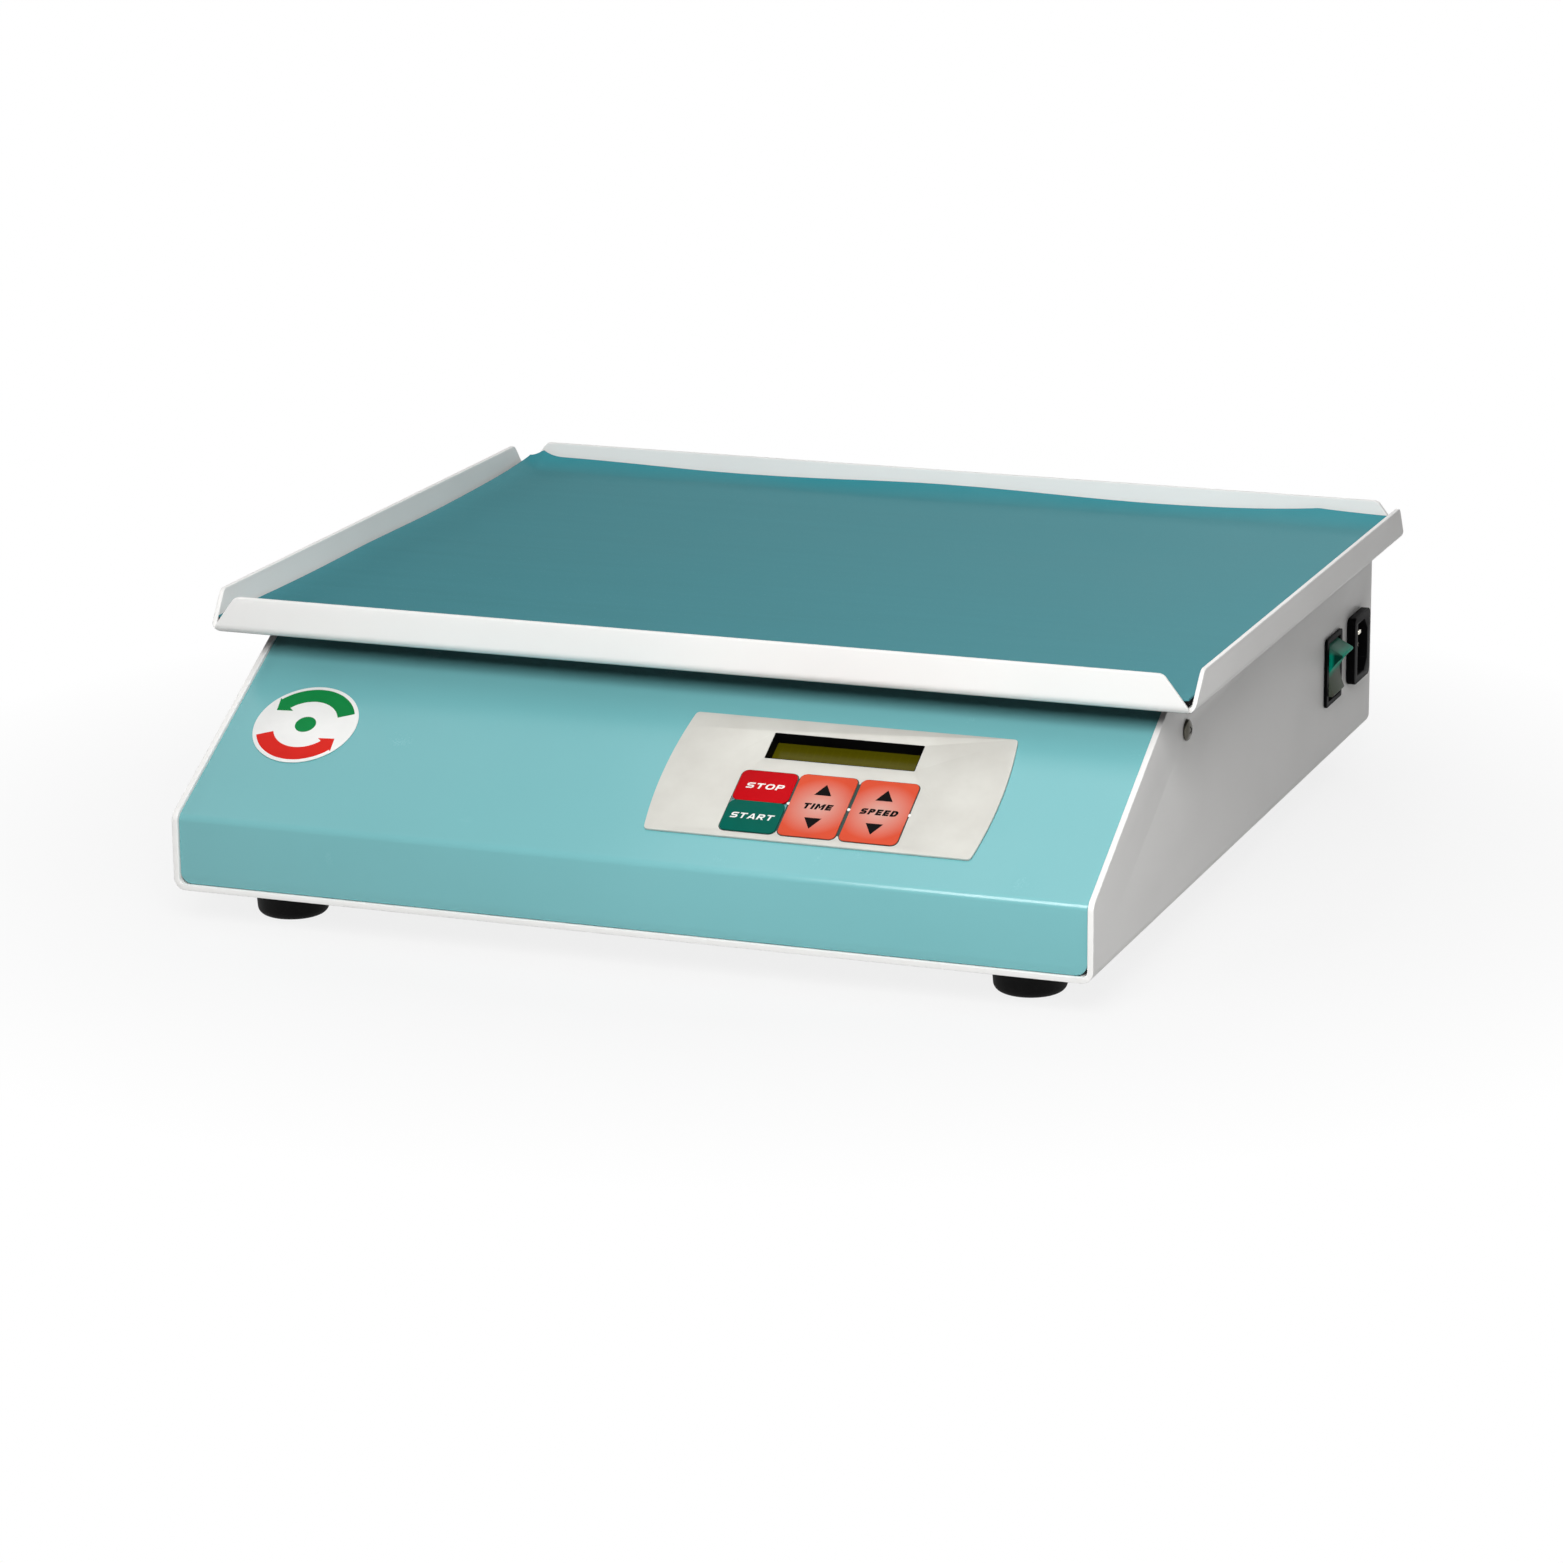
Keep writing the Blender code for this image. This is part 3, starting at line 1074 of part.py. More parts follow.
def blade_places():
    y, z = inlet_centre
    return {
        "line": (y - BLADE_OFFSET, z - BLADE_SPACING / 2),
        "neutral": (y - BLADE_OFFSET, z + BLADE_SPACING / 2),
        "earth": (y + BLADE_OFFSET, z),
    }


def make_inlet_housing(plastic):
    outline = centred_rectangle(inlet_centre, INLET_BEZEL_WIDTH, INLET_BEZEL_HEIGHT, INLET_BEZEL_CORNER)
    housing = prism("inlet_housing", outline, wall_x + GAP, inlet_face, plastic, "X", smooth=True)
    body = centred_rectangle(inlet_centre, INLET_BODY_WIDTH, INLET_BODY_HEIGHT)
    join(housing, prism("inlet_body", body, inlet_back, inlet_face - INLET_BEZEL_THICKNESS / 2, plastic, "X"))
    cut(housing, prism("inlet_socket", socket_outline(), socket_floor, inlet_face + OVERRUN, plastic, "X"))
    for name, spot in blade_places().items():
        slot = centred_rectangle(spot, BLADE_WIDTH + 2 * GAP, BLADE_THICKNESS + 2 * GAP)
        cut(housing, prism("inlet_slot_" + name, slot, inlet_back - OVERRUN, socket_floor + OVERRUN, plastic,
                           "X"))
    return housing


def make_blade(name, spot, metal):
    outline = centred_rectangle(spot, BLADE_WIDTH, BLADE_THICKNESS)
    return prism("inlet_blade_" + name, outline, inlet_back - BLADE_BEHIND_BODY,
                 socket_floor + BLADE_IN_SOCKET, metal, "X")


# Assembly

def build():
    clear_scene()
    looks = make_finishes()
    make_pan(looks["white_paint"])
    make_cover(looks["turquoise_paint"])
    for name, (x, y) in foot_places.items():
        make_foot(name, x, y, looks["black_rubber"])
        make_foot_screw(name, x, y, looks["zinc"])
    for name, side in (("left", -1), ("right", 1)):
        make_cover_screw("side_screw_" + name, looks["zinc"], side_screw_place(side))
        make_cover_screw("rear_screw_" + name, looks["zinc"], rear_screw_place(side))

    make_bridge(looks["steel"])
    make_drive_housing(looks["aluminium"])
    make_motor(looks["motor_metal"])
    make_belt(looks["belt_rubber"])
    make_supply(looks["aluminium"])
    make_board(looks["circuit_board"])
    make_display(looks["black_plastic"], looks["display_glass"])

    carried = [make_tray(looks["white_paint"]), make_mat(looks["teal_rubber"])]
    for name, (x, y) in hub_places(idler_places).items():
        carried.append(make_hub(name, x, y, looks["brass"], TRAY_SCREW_RADIUS + SCREW_CLEARANCE))
        carried.append(make_tray_screw(name, x, y, looks["zinc"]))
    carried.append(make_hub("drive", 0, drive_y - ORBIT_RADIUS, looks["brass"], 0))
    crank = make_crank("drive_crank", 0, drive_y, looks["steel"], DRIVE_SHAFT_RADIUS,
                       bridge_top - DRIVE_SHAFT_BELOW_BRIDGE, counterweight_outline())
    axis_marker("platform_axis", at(0, drive_y - ORBIT_RADIUS), carried)
    axis_marker("drive_axis", at(0, drive_y), [crank, make_drive_pulley(looks["aluminium"])])
    axis_marker("motor_axis", at(motor_x, drive_y), [make_motor_pulley(looks["aluminium"])])
    disc = arc_points(IDLER_DISC_RADIUS, 0, 2 * pi, ROUND_STEPS)
    for name, (x, y) in idler_places.items():
        make_idler_housing(name, x, y, looks["aluminium"])
        make_crank("idler_crank_" + name, x, y, looks["steel"], IDLER_SHAFT_RADIUS,
                   bridge_top - IDLER_SHAFT_BELOW_BRIDGE, disc)

    make_overlay(looks["cream_film"])
    for name, layout in key_layout().items():
        make_key(name, layout, looks)
    make_label_band("time_label", TIME_TILE_LEFT_U, looks["orange_film"])
    make_label_band("speed_label", SPEED_TILE_LEFT_U, looks["orange_film"])
    make_badge(looks["badge_film"])

    make_switch_housing(looks["black_plastic"])
    make_rocker(looks["green_plastic"])
    make_inlet_housing(looks["black_plastic"])
    for name, spot in blade_places().items():
        make_blade(name, spot, looks["zinc"])


build()
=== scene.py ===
"""Looks of a laboratory orbital rotator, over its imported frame. Metres, +Z up, front towards -Y."""
from math import atan2, cos, pi, radians, sin, tan
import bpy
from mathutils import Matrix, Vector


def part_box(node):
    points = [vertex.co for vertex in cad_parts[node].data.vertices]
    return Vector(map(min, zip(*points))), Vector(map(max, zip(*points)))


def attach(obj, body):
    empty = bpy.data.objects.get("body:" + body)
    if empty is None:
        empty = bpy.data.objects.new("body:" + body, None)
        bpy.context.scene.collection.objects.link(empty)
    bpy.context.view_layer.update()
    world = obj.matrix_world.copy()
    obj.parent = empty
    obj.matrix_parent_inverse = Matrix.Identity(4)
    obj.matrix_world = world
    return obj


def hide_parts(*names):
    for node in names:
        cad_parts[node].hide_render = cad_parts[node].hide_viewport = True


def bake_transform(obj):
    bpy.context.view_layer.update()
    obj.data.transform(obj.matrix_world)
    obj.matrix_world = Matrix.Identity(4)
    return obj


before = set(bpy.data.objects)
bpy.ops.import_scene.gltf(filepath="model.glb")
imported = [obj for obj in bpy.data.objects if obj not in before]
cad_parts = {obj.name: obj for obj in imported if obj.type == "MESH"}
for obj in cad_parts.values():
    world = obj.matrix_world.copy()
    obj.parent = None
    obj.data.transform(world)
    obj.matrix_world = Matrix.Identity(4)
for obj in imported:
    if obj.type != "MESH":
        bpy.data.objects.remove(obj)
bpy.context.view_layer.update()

from types import SimpleNamespace

import bmesh
import bpy
from mathutils import Matrix, Vector

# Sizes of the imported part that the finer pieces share
PAN_WIDTH = 0.400
PAN_DEPTH = 0.421
PAN_SHEET = 0.0025
PAN_BEND = 0.005
COVER_SHEET = 0.0015
COVER_BEND = 0.004
COVER_HEIGHT = 0.086
COVER_CORNER = 0.005
STRIP_HEIGHT = 0.0315
SLOPE_RUN = 0.098
EDGE_PROUD = 0.001
REAR_RECESS = 0.002
FOOT_HEIGHT = 0.016
GAP = 0.0003
OVERRUN = 0.002
TRAY_WIDTH = 0.435
TRAY_DEPTH = 0.336
TRAY_SHEET = 0.002
TRAY_BEND = 0.0045
TRAY_LIP = 0.0165
TRAY_LEAN = 0.0008
TRAY_CORNER_CUT = 0.0133
TRAY_ROUND = 0.0045
TRAY_GAP = 0.005
ORBIT_RADIUS = 0.010
HUB_HOLE_RADIUS = 0.0215
TAB_WIDTH = 0.018
TAB_ROUND = 0.004
SCREW_HOLE = 0.0023
SIDE_SCREW_Y = -0.0869
SIDE_SCREW_Z = 0.0879
REAR_SCREW_X = 0.130
REAR_SCREW_Z = 0.029
FOOT_X = 0.1627
FOOT_Y = 0.175
VENTS = 6
VENT_PITCH = 0.008
VENT_X = 0.060
ROCKER_Y = 0.14145
ROCKER_Z = 0.0590
ROCKER_HALF = 0.0093

wall_x = PAN_WIDTH / 2
pan_bottom = FOOT_HEIGHT
pan_floor = pan_bottom + PAN_SHEET
front_y = EDGE_PROUD - PAN_DEPTH / 2
rear_y = PAN_DEPTH / 2 - REAR_RECESS
cover_top = pan_bottom + COVER_HEIGHT
slope_angle = atan2(COVER_HEIGHT - STRIP_HEIGHT, SLOPE_RUN)
drive_y = 0.0425
axis_x = 0.135
axis_y = 0.110
tray_y = drive_y - ORBIT_RADIUS
tray_bottom = cover_top + TRAY_GAP
tray_floor = tray_bottom + TRAY_SHEET
corners = {"front_left": (-1, -1), "front_right": (1, -1), "rear_left": (-1, 1), "rear_right": (1, 1)}

# The control panel's own frame: across, up the slope and out of it, from the slope's lower edge
panel = Matrix.Translation((0, front_y, pan_bottom + STRIP_HEIGHT)) @ Matrix.Rotation(slope_angle, 4, "X")
FILM_TOP = 0.0012
KEY_TOP = 0.00135
KEY_CORNER = 0.0026
CAP_TOP = KEY_TOP + 0.00022
INK = 0.00003
WINDOW = (0.0742, 0.0713)
TILE_LOW = 0.0214
TILE_WIDTH = 0.0242
TILE_HEIGHT = 0.0347
TILES = {
    "command": (0.0360, TILE_LOW, 0.0237, 0.0342),
    "time": (0.0611, TILE_LOW, TILE_WIDTH, TILE_HEIGHT),
    "speed": (0.0873, TILE_LOW, TILE_WIDTH, TILE_HEIGHT),
}
tile_middle = TILE_LOW + TILE_HEIGHT / 2
WORD_LINE = 0.0386


def each(prefix):
    """The names of a piece that stands at all four corners."""
    return [prefix + name for name in corners]


def at_corners(x, y, middle=0, height=0):
    return [(x * sx, middle + y * sy, height) for sx, sy in corners.values()]


def linked(name, data):
    item = bpy.data.objects.new(name, data)
    bpy.context.scene.collection.objects.link(item)
    return item


# Camera

def make_camera():
    camera = linked("camera", bpy.data.cameras.new("camera"))
    camera.data.lens = 122.83
    camera.data.sensor_width = 36
    matrix = Matrix.Translation((0.79463, -2.10633, 0.64846))
    for degrees, axis in ((20.9, "Z"), (90 - 15.47, "X"), (-0.52, "Z")):
        matrix = matrix @ Matrix.Rotation(radians(degrees), 4, axis)
    camera.matrix_world = matrix
    bpy.context.scene.camera = camera


make_camera()


# Node trees

def operator(operation):
    return lambda value, other: value.recipe.maths(operation, value, other)


class Value:
    """A socket in a node tree. Arithmetic on it adds Math nodes."""

    def __init__(self, recipe, socket):
        self.recipe = recipe
        self.socket = socket

    def sibling(self, output):
        """Another output of the same node."""
        return Value(self.recipe, self.recipe.find(self.socket.node.outputs, output))

    def __rsub__(self, other):
        return self.recipe.maths("SUBTRACT", other, self)

    __add__ = __radd__ = operator("ADD")
    __sub__ = operator("SUBTRACT")
    __mul__ = __rmul__ = operator("MULTIPLY")
    __truediv__ = operator("DIVIDE")


class Recipe:
    """A node tree, and the steps that fill it."""

    def __init__(self, tree):
        self.tree = tree

    def node(self, kind, values=None, output=0, **settings):
        """Adds a node with its settings and its inputs, and gives one of its outputs."""
        made = self.tree.nodes.new(kind)
        for name, setting in settings.items():
            setattr(made, name, setting)
        self.feed(made, values or {})
        return Value(self, self.find(made.outputs, output))

    @staticmethod
    def find(sockets, key):
        if isinstance(key, int):
            return sockets[key]
        return next(item for item in sockets if key in (item.identifier, item.name) and item.enabled)

    def feed(self, made, values):
        for key, value in values.items():
            socket = self.find(made.inputs, key)
            if isinstance(value, Value):
                self.tree.links.new(value.socket, socket)
            else:
                socket.default_value = value

    def end(self, kind, value):
        """Adds the tree's last node, fed with a value."""
        self.feed(self.tree.nodes.new(kind), {0: value})

    def maths(self, operation, *inputs):
        return self.node("ShaderNodeMath", dict(enumerate(inputs)), operation=operation)

    def ramp(self, value, low, high, first=0.0, second=1.0):
        return self.node("ShaderNodeMapRange", {0: value, 1: low, 2: high, 3: first, 4: second}, clamp=True)

    def axes(self, vector=None):
        x = self.node("ShaderNodeSeparateXYZ", {0: vector or self.place})
        return x, x.sibling(1), x.sibling(2)

    def seen_directly(self):
        """One where the camera, a reflection or a refraction looks straight at the surface."""
        camera = self.node("ShaderNodeLightPath", output="Is Camera Ray")
        other = camera.sibling("Is Glossy Ray") + camera.sibling("Is Transmission Ray")
        return self.maths("MINIMUM", camera + other, 1.0)


def linear(level):
    share = level / 255
    return share / 12.92 if share <= 0.04045 else ((share + 0.055) / 1.055) ** 2.4


def shade(levels):
    return *map(linear, levels), 1.0


class Surface(Recipe):
    """A material's node tree round its Principled shader. Its place may be measured from a frame."""

    def __init__(self, name, home=None):
        self.material = bpy.data.materials.new(name)
        self.material.use_nodes = True
        super().__init__(self.material.node_tree)
        self.place = self.node("ShaderNodeTexCoord", output="Object")
        if home is not None:
            inverse = home.inverted()
            self.place = self.moved(location=inverse.to_translation(), turn=inverse.to_euler("XYZ"))

    def moved(self, location=(0, 0, 0), turn=(0, 0, 0), scale=(1, 1, 1)):
        values = {"Vector": self.place, "Location": location, "Rotation": turn, "Scale": scale}
        return self.node("ShaderNodeMapping", values, vector_type="POINT")

    def noise(self, scale, detail=2.0, roughness=0.5, vector=None):
        return self.node("ShaderNodeTexNoise", {"Vector": vector or self.place, "Scale": scale,
                                                "Detail": detail, "Roughness": roughness})

    def mix(self, share, first, second):
        """Mixes two colours. Each is a socket, or its red, green and blue levels out of 255."""
        first, second = (shade(item) if isinstance(item, tuple) else item for item in (first, second))
        return self.node("ShaderNodeMix", {"Factor_Float": share, "A_Color": first, "B_Color": second},
                         "Result_Color", data_type="RGBA")

    def finish(self, base, roughness, gloss, bump=None, metallic=0.0):
        """Feeds the shader, and gives the material. A bump is its height, strength and distance."""
        values = {"Base Color": base, "Roughness": roughness, "Specular IOR Level": gloss,
                  "Metallic": metallic}
        if bump:
            heights = dict(zip(("Height", "Strength", "Distance"), bump))
            values["Normal"] = self.node("ShaderNodeBump", heights)
        self.feed(self.tree.nodes["Principled BSDF"], values)
        return self.material


# Finishes

def painted(name, pale, deep, roughness, gloss, painted_shade_colour=None):
    """Baked powder coat: a fine orange peel, faint cloudiness and a few handling marks.

    The tray's lower face may be given a dark colour: painted shade that stands in for the deep shadow under
    the tray and its lip.
    """
    look = Surface(name)
    cloud = look.noise(7.0, 3.0)
    marks = look.ramp(look.noise(38.0), 0.45, 0.80)
    peel = look.noise(620.0)
    grain = look.noise(2400.0, 1.0)
    base = look.mix(look.ramp(cloud, 0.3, 0.7), deep, pale)
    if painted_shade_colour:
        # Painted shade: the lowest part of the tray is darkened, standing in for the shadow under its lip.
        across, along, height = look.axes()
        painted_shade_mask = look.ramp(height, tray_bottom + 0.0002, tray_bottom + 0.0009, 1.0, 0.0)
        base = look.mix(painted_shade_mask, base, painted_shade_colour)
    return look.finish(base, roughness + marks * 0.07 + (grain - 0.5) * 0.05, gloss,
                       (peel + grain * 0.25, 0.55, 0.00003))


def rubber(name, pale, deep, roughness):
    look = Surface(name)
    dust_and_sheen = look.ramp(look.noise(60.0, 5.0, 0.65), 0.45, 0.75)
    grain = look.noise(1500.0, 3.0, 0.65)
    return look.finish(look.mix(dust_and_sheen, deep, pale), roughness + dust_and_sheen * 0.1, 0.12, (grain, 0.7, 0.00006))


def mat_surface():
    """Calendered rubber sheet: long faint streaks, a fine grain and cloudy marks of use, with painted light
    towards the rear right and painted shade along the rear edge.
    """
    look = Surface("mat_top_rubber")
    streaks = look.noise(1.0, 4.0, 0.6, look.moved(scale=(6.0, 130.0, 1.0)))
    cloud = look.noise(9.0, 4.0, 0.55)
    grain = look.noise(1700.0, 3.0, 0.7)
    specks = look.ramp(look.noise(900.0, 1.0), 0.68, 0.74)
    across, along, height = look.axes()
    tone = look.ramp(cloud * 0.6 + streaks * 0.4, 0.35, 0.65)
    # Painted light: the colour grows lighter towards the rear right.
    painted_far_light = look.ramp(across * 0.8 + along, -0.30, 0.35)
    # Painted shade: a deeper, darker teal along the rear edge, where the climbing rubber shows less sheen.
    edge = look.ramp(along + (cloud - 0.5) * 0.02, tray_y + 0.151, tray_y + 0.168)
    base = look.mix(tone, (55, 119, 127), (63, 127, 136))
    base = look.mix(painted_far_light * 0.74, base, (100, 163, 171))
    base = look.mix(specks * 0.2, base, (112, 172, 178))
    base = look.mix(edge * 0.8, base, (46, 138, 149))
    return look.finish(base, 0.74 + (cloud - 0.5) * 0.2 + streaks * 0.06, 0.08,
                       (grain * 0.6 + streaks * 0.4, 0.6, 0.00006))


def plastic(name, pale, deep, roughness, recolour=None):
    """Moulded plastic with a fine grain and smudges. A recolouring function may add painted light and shade
    to its colour.
    """
    look = Surface(name)
    grain = look.noise(1900.0, 2.0, 0.6)
    smudge = look.ramp(look.noise(55.0, 4.0, 0.6), 0.4, 0.7)
    base = look.mix(smudge, deep, pale)
    if recolour:
        base = recolour(look, (smudge - 0.5) * 0.001, base)
    return look.finish(base, roughness + smudge * 0.08, 0.02, (grain, 0.5, 0.00002))


def rocker_painted_light(look, uneven, base):
    """Painted light and shade: the flank dark towards the tip as painted shadow, a painted grey sheen on top,
    and painted grey sheen and shade on the wing that stands pressed in.
    """
    across, along, height = look.axes()
    flank_y = ROCKER_Y - ROCKER_HALF
    flank = look.ramp(along, flank_y + 0.0002, flank_y + 0.0008, 1.0, 0.0)
    # Painted shadow on the flank, under the upper wing's tip.
    tip = look.ramp(across, wall_x + 0.0026, wall_x + 0.0040) * flank
    # Painted grey sheen on the top facet.
    dust_and_sheen = look.ramp(height + uneven, 0.0668, 0.0686)
    # Painted grey sheen and shade on the pressed-in lower wing.
    lower_wing_sheen_and_shade = look.ramp(height + uneven, 0.0565, 0.0600, 1.0, 0.0)
    base = look.mix(tip * 0.9, base, (4, 20, 18))
    base = look.mix(dust_and_sheen * 0.9, base, (72, 120, 104))
    return look.mix(lower_wing_sheen_and_shade * 0.9, base, (96, 88, 80))


def metal(name, pale, deep, roughness, stretch):
    """Bare metal with fine drawn or turned lines and a little tarnish."""
    look = Surface(name)
    lines = look.noise(1.0, 3.0, 0.6, look.moved(scale=stretch))
    tarnish = look.ramp(look.noise(70.0, 4.0, 0.6), 0.4, 0.75)
    base = look.mix(tarnish * 0.7 + lines * 0.3, pale, deep)
    roughness = roughness + tarnish * 0.12 + (lines - 0.5) * 0.1
    return look.finish(base, roughness, 0.5, (lines, 0.4, 0.00002), 1.0)


def film(name, pale, deep, gloss=0.05, glow=None):
    """Printed polyester film: slight waves from the glue under it, and uneven ink.

    A glow is the tile that it fills, and its colour in the tile's middle.
    """
    look = Surface(name, panel)
    cloud = look.ramp(look.noise(32.0, 4.0, 0.6), 0.35, 0.68)
    waves = look.noise(75.0)
    grain = look.noise(2600.0)
    base = look.mix(cloud, deep, pale)
    if glow:
        tile, middle = glow
        values = {0: look.place, 1: (TILES[tile][0] + TILE_WIDTH / 2, tile_middle, 0.001)}
        away = look.node("ShaderNodeVectorMath", values, "Value", operation="DISTANCE")
        base = look.mix(look.ramp(away, 0.001, 0.016, 1.0, 0.0), base, middle)
    return look.finish(base, 0.36 + cloud * 0.06, gloss, (waves * 0.9 + grain * 0.05, 0.35, 0.00025))


def display_surface():
    """An unlit character display: olive glass with the faint cells of two rows of sixteen, painted darker
    towards its top as painted shade from its recess.
    """
    look = Surface("display_surface", panel)
    across, up, out = look.axes()
    cell = look.maths("PINGPONG", across - 0.0450, 0.00182)
    row = look.maths("PINGPONG", up - WINDOW[1], 0.0032)
    cells = look.ramp(cell, 0.0002, 0.0004) * look.ramp(row, 0.0003, 0.0006)
    # Painted shade: the glass darkens towards its top, where the recess shades it.
    base = look.mix(look.ramp(up, WINDOW[1] - 0.0075, WINDOW[1] + 0.0076), (86, 81, 5), (69, 65, 2))
    return look.finish(look.mix(cells * 0.14, base, (52, 49, 3)), 0.2, 0.12)


def circuit_surface():
    """Green solder mask over raised copper tracks."""
    look = Surface("solder_mask")
    tracks = look.node("ShaderNodeTexVoronoi", {"Vector": look.place, "Scale": 170.0, "Randomness": 0.6},
                       "Distance", feature="DISTANCE_TO_EDGE", distance="MANHATTAN")
    line = look.ramp(tracks, 0.05, 0.12)
    return look.finish(look.mix(line, (46, 128, 82), (20, 84, 54)), 0.35, 0.5, (line, 0.3, 0.00003))


def make_finishes():
    white = (237, 236, 234), (230, 229, 227)
    orange = (210, 82, 56), (203, 76, 51)
    tile_glow = (208, 158, 146)
    rolled = (40.0, 1400.0, 1400.0)
    cast = (900.0, 900.0, 900.0)
    spun = (1200.0, 1200.0, 60.0)
    recipes = {
        painted: {
            "white_paint": (*white, 0.45, 0.24),
            # The tray's dark grey lower face is painted shade for the shadow under its lip.
            "tray_paint": (*white, 0.45, 0.24, (44, 45, 46)),
            "turquoise_paint": ((114, 178, 182), (109, 173, 177), 0.22, 0.45),
        },
        rubber: {
            "black_rubber": ((20, 20, 20), (8, 8, 8), 0.65),
            "belt_rubber": ((34, 34, 34), (20, 20, 20), 0.7),
        },
        plastic: {
            "black_plastic": ((14, 14, 15), (7, 7, 8), 0.42),
            # The rocker's green plastic gets painted shadow, sheen and shade on its flank, top and lower
            # wing.
            "green_plastic": ((0, 168, 138), (0, 158, 128), 0.34, rocker_painted_light),
        },
        film: {
            "cream_film": ((209, 208, 201), (199, 197, 190), 0.26),
            "red_film": ((190, 9, 20), (180, 8, 18)),
            "green_film": ((0, 92, 79), (0, 86, 73)),
            "time_film": (*orange, 0.05, ("time", tile_glow)),
            "speed_film": (*orange, 0.05, ("speed", tile_glow)),
            "outline_ink": ((66, 84, 80), (54, 72, 68)),
            "white_ink": ((236, 236, 233), (228, 228, 224)),
            "black_ink": ((10, 8, 8), (5, 4, 4), 0.04),
            "badge_white": ((232, 232, 230), (224, 224, 222), 0.2),
            "badge_green": ((20, 128, 66), (14, 118, 58)),
            "badge_red": ((210, 44, 36), (200, 38, 32)),
        },
        metal: {
            "steel": ((186, 188, 191), (150, 152, 155), 0.32, rolled),
            "dull_zinc": ((96, 94, 86), (52, 50, 44), 0.3, cast),
            "zinc": ((176, 176, 172), (118, 118, 112), 0.3, cast),
            "bright_nickel": ((240, 236, 222), (214, 208, 192), 0.2, (60.0, 1200.0, 1200.0)),
            "aluminium": ((205, 207, 210), (170, 172, 176), 0.34, spun),
            "brass": ((204, 170, 100), (168, 132, 70), 0.28, spun),
            "motor_metal": ((74, 76, 80), (46, 48, 52), 0.4, (1100.0, 1100.0, 50.0)),
        },
    }
    made = {name: make(name, *values) for make, rows in recipes.items() for name, values in rows.items()}
    return {**made, "mat_top": mat_surface(), "display": display_surface(),
            "circuit_board": circuit_surface()}


looks = make_finishes()


# Outlines and solids

def left_of(direction):
    return Vector((-direction.y, direction.x))


def corner_arc(before, corner, after, radius, steps):
    """Points and left-hand normals round one corner of a path."""
    way_in = (corner - before).normalized()
    way_out = (after - corner).normalized()
    turn = atan2(way_in.x * way_out.y - way_in.y * way_out.x, way_in.dot(way_out))
    side = 1 if turn > 0 else -1
    start = corner - way_in * radius * tan(abs(turn) / 2)
    centre = start + left_of(way_in) * side * radius
    arc = []
    for step in range(steps + 1):
        normal = Matrix.Rotation(turn * step / steps, 2) @ left_of(way_in)
        arc.append((centre - normal * side * radius, normal))
    return arc


def spots(samples):
    return [point for point, normal in samples]


def bent_path(points, radius, steps=12):
    """Points and left-hand normals along a path whose corners are rounded."""
    path = [Vector(point) for point in points]
    samples = [(path[0], left_of((path[1] - path[0]).normalized()))]
    for before, corner, after in zip(path, path[1:], path[2:]):
        samples += corner_arc(before, corner, after, radius, steps)
    samples.append((path[-1], left_of((path[-1] - path[-2]).normalized())))
    return samples


def sheet_outline(points, radius, sheet):
    samples = bent_path(points, radius)
    return spots(samples) + [point + normal * sheet for point, normal in reversed(samples)]


def eased_polygon(points, radii, steps):
    """A closed outline with an arc in place of each corner whose radius isn't zero."""
    path = [Vector(point) for point in points]
    outline = []
    for index, (corner, radius) in enumerate(zip(path, radii)):
        if radius > 0:
            arc = corner_arc(path[index - 1], corner, path[(index + 1) % len(path)], radius, steps)
            outline += spots(arc)
        else:
            outline.append(corner)
    return outline


def rounded(centre, width, height, radius=0.0):
    """A rectangle round a centre, with one radius or one for each corner from the low left one."""
    radii = radius if isinstance(radius, tuple) else (radius,) * 4
    left, right = centre[0] - width / 2, centre[0] + width / 2
    low, high = centre[1] - height / 2, centre[1] + height / 2
    return eased_polygon(block(left, low, right, high), radii, 8)


def block(left, low, right, high):
    return [(left, low), (right, low), (right, high), (left, high)]


def polar(angle, radius, centre):
    return centre[0] + radius * cos(angle), centre[1] + radius * sin(angle)


def ring(radius, steps, centre=(0, 0)):
    return [polar(2 * pi * step / steps, radius, centre) for step in range(steps)]


def pushed_out(work, points, way):
    """Adds a flat face to a draft, and pushes it out into a closed block."""
    face = work.faces.new([work.verts.new(point) for point in points])
    made = bmesh.ops.extrude_face_region(work, geom=[face], use_keep_orig=True)
    moved = [item for item in made["geom"] if isinstance(item, bmesh.types.BMVert)]
    bmesh.ops.translate(work, verts=moved, vec=way)


def drafted(name, work, place=None, merge=True):
    """A draft as an object in the scene, with its place in its mesh."""
    if merge:
        bmesh.ops.remove_doubles(work, verts=work.verts, dist=0.000001)
    bmesh.ops.recalc_face_normals(work, faces=work.faces)
    if place is not None:
        work.transform(place)
    mesh = bpy.data.meshes.new(name)
    work.to_mesh(mesh)
    work.free()
    return linked(name, mesh)


def solid(name, outline, low, high, along="Z", place=None):
    """An outline pushed from low to high along an axis."""
    axis = "XYZ".index(along)
    way = Vector((0, 0, 0))
    way[axis] = high - low
    work = bmesh.new()
    pushed_out(work, [(*point[:axis], low, *point[axis:]) for point in outline], way)
    return drafted(name, work, place)


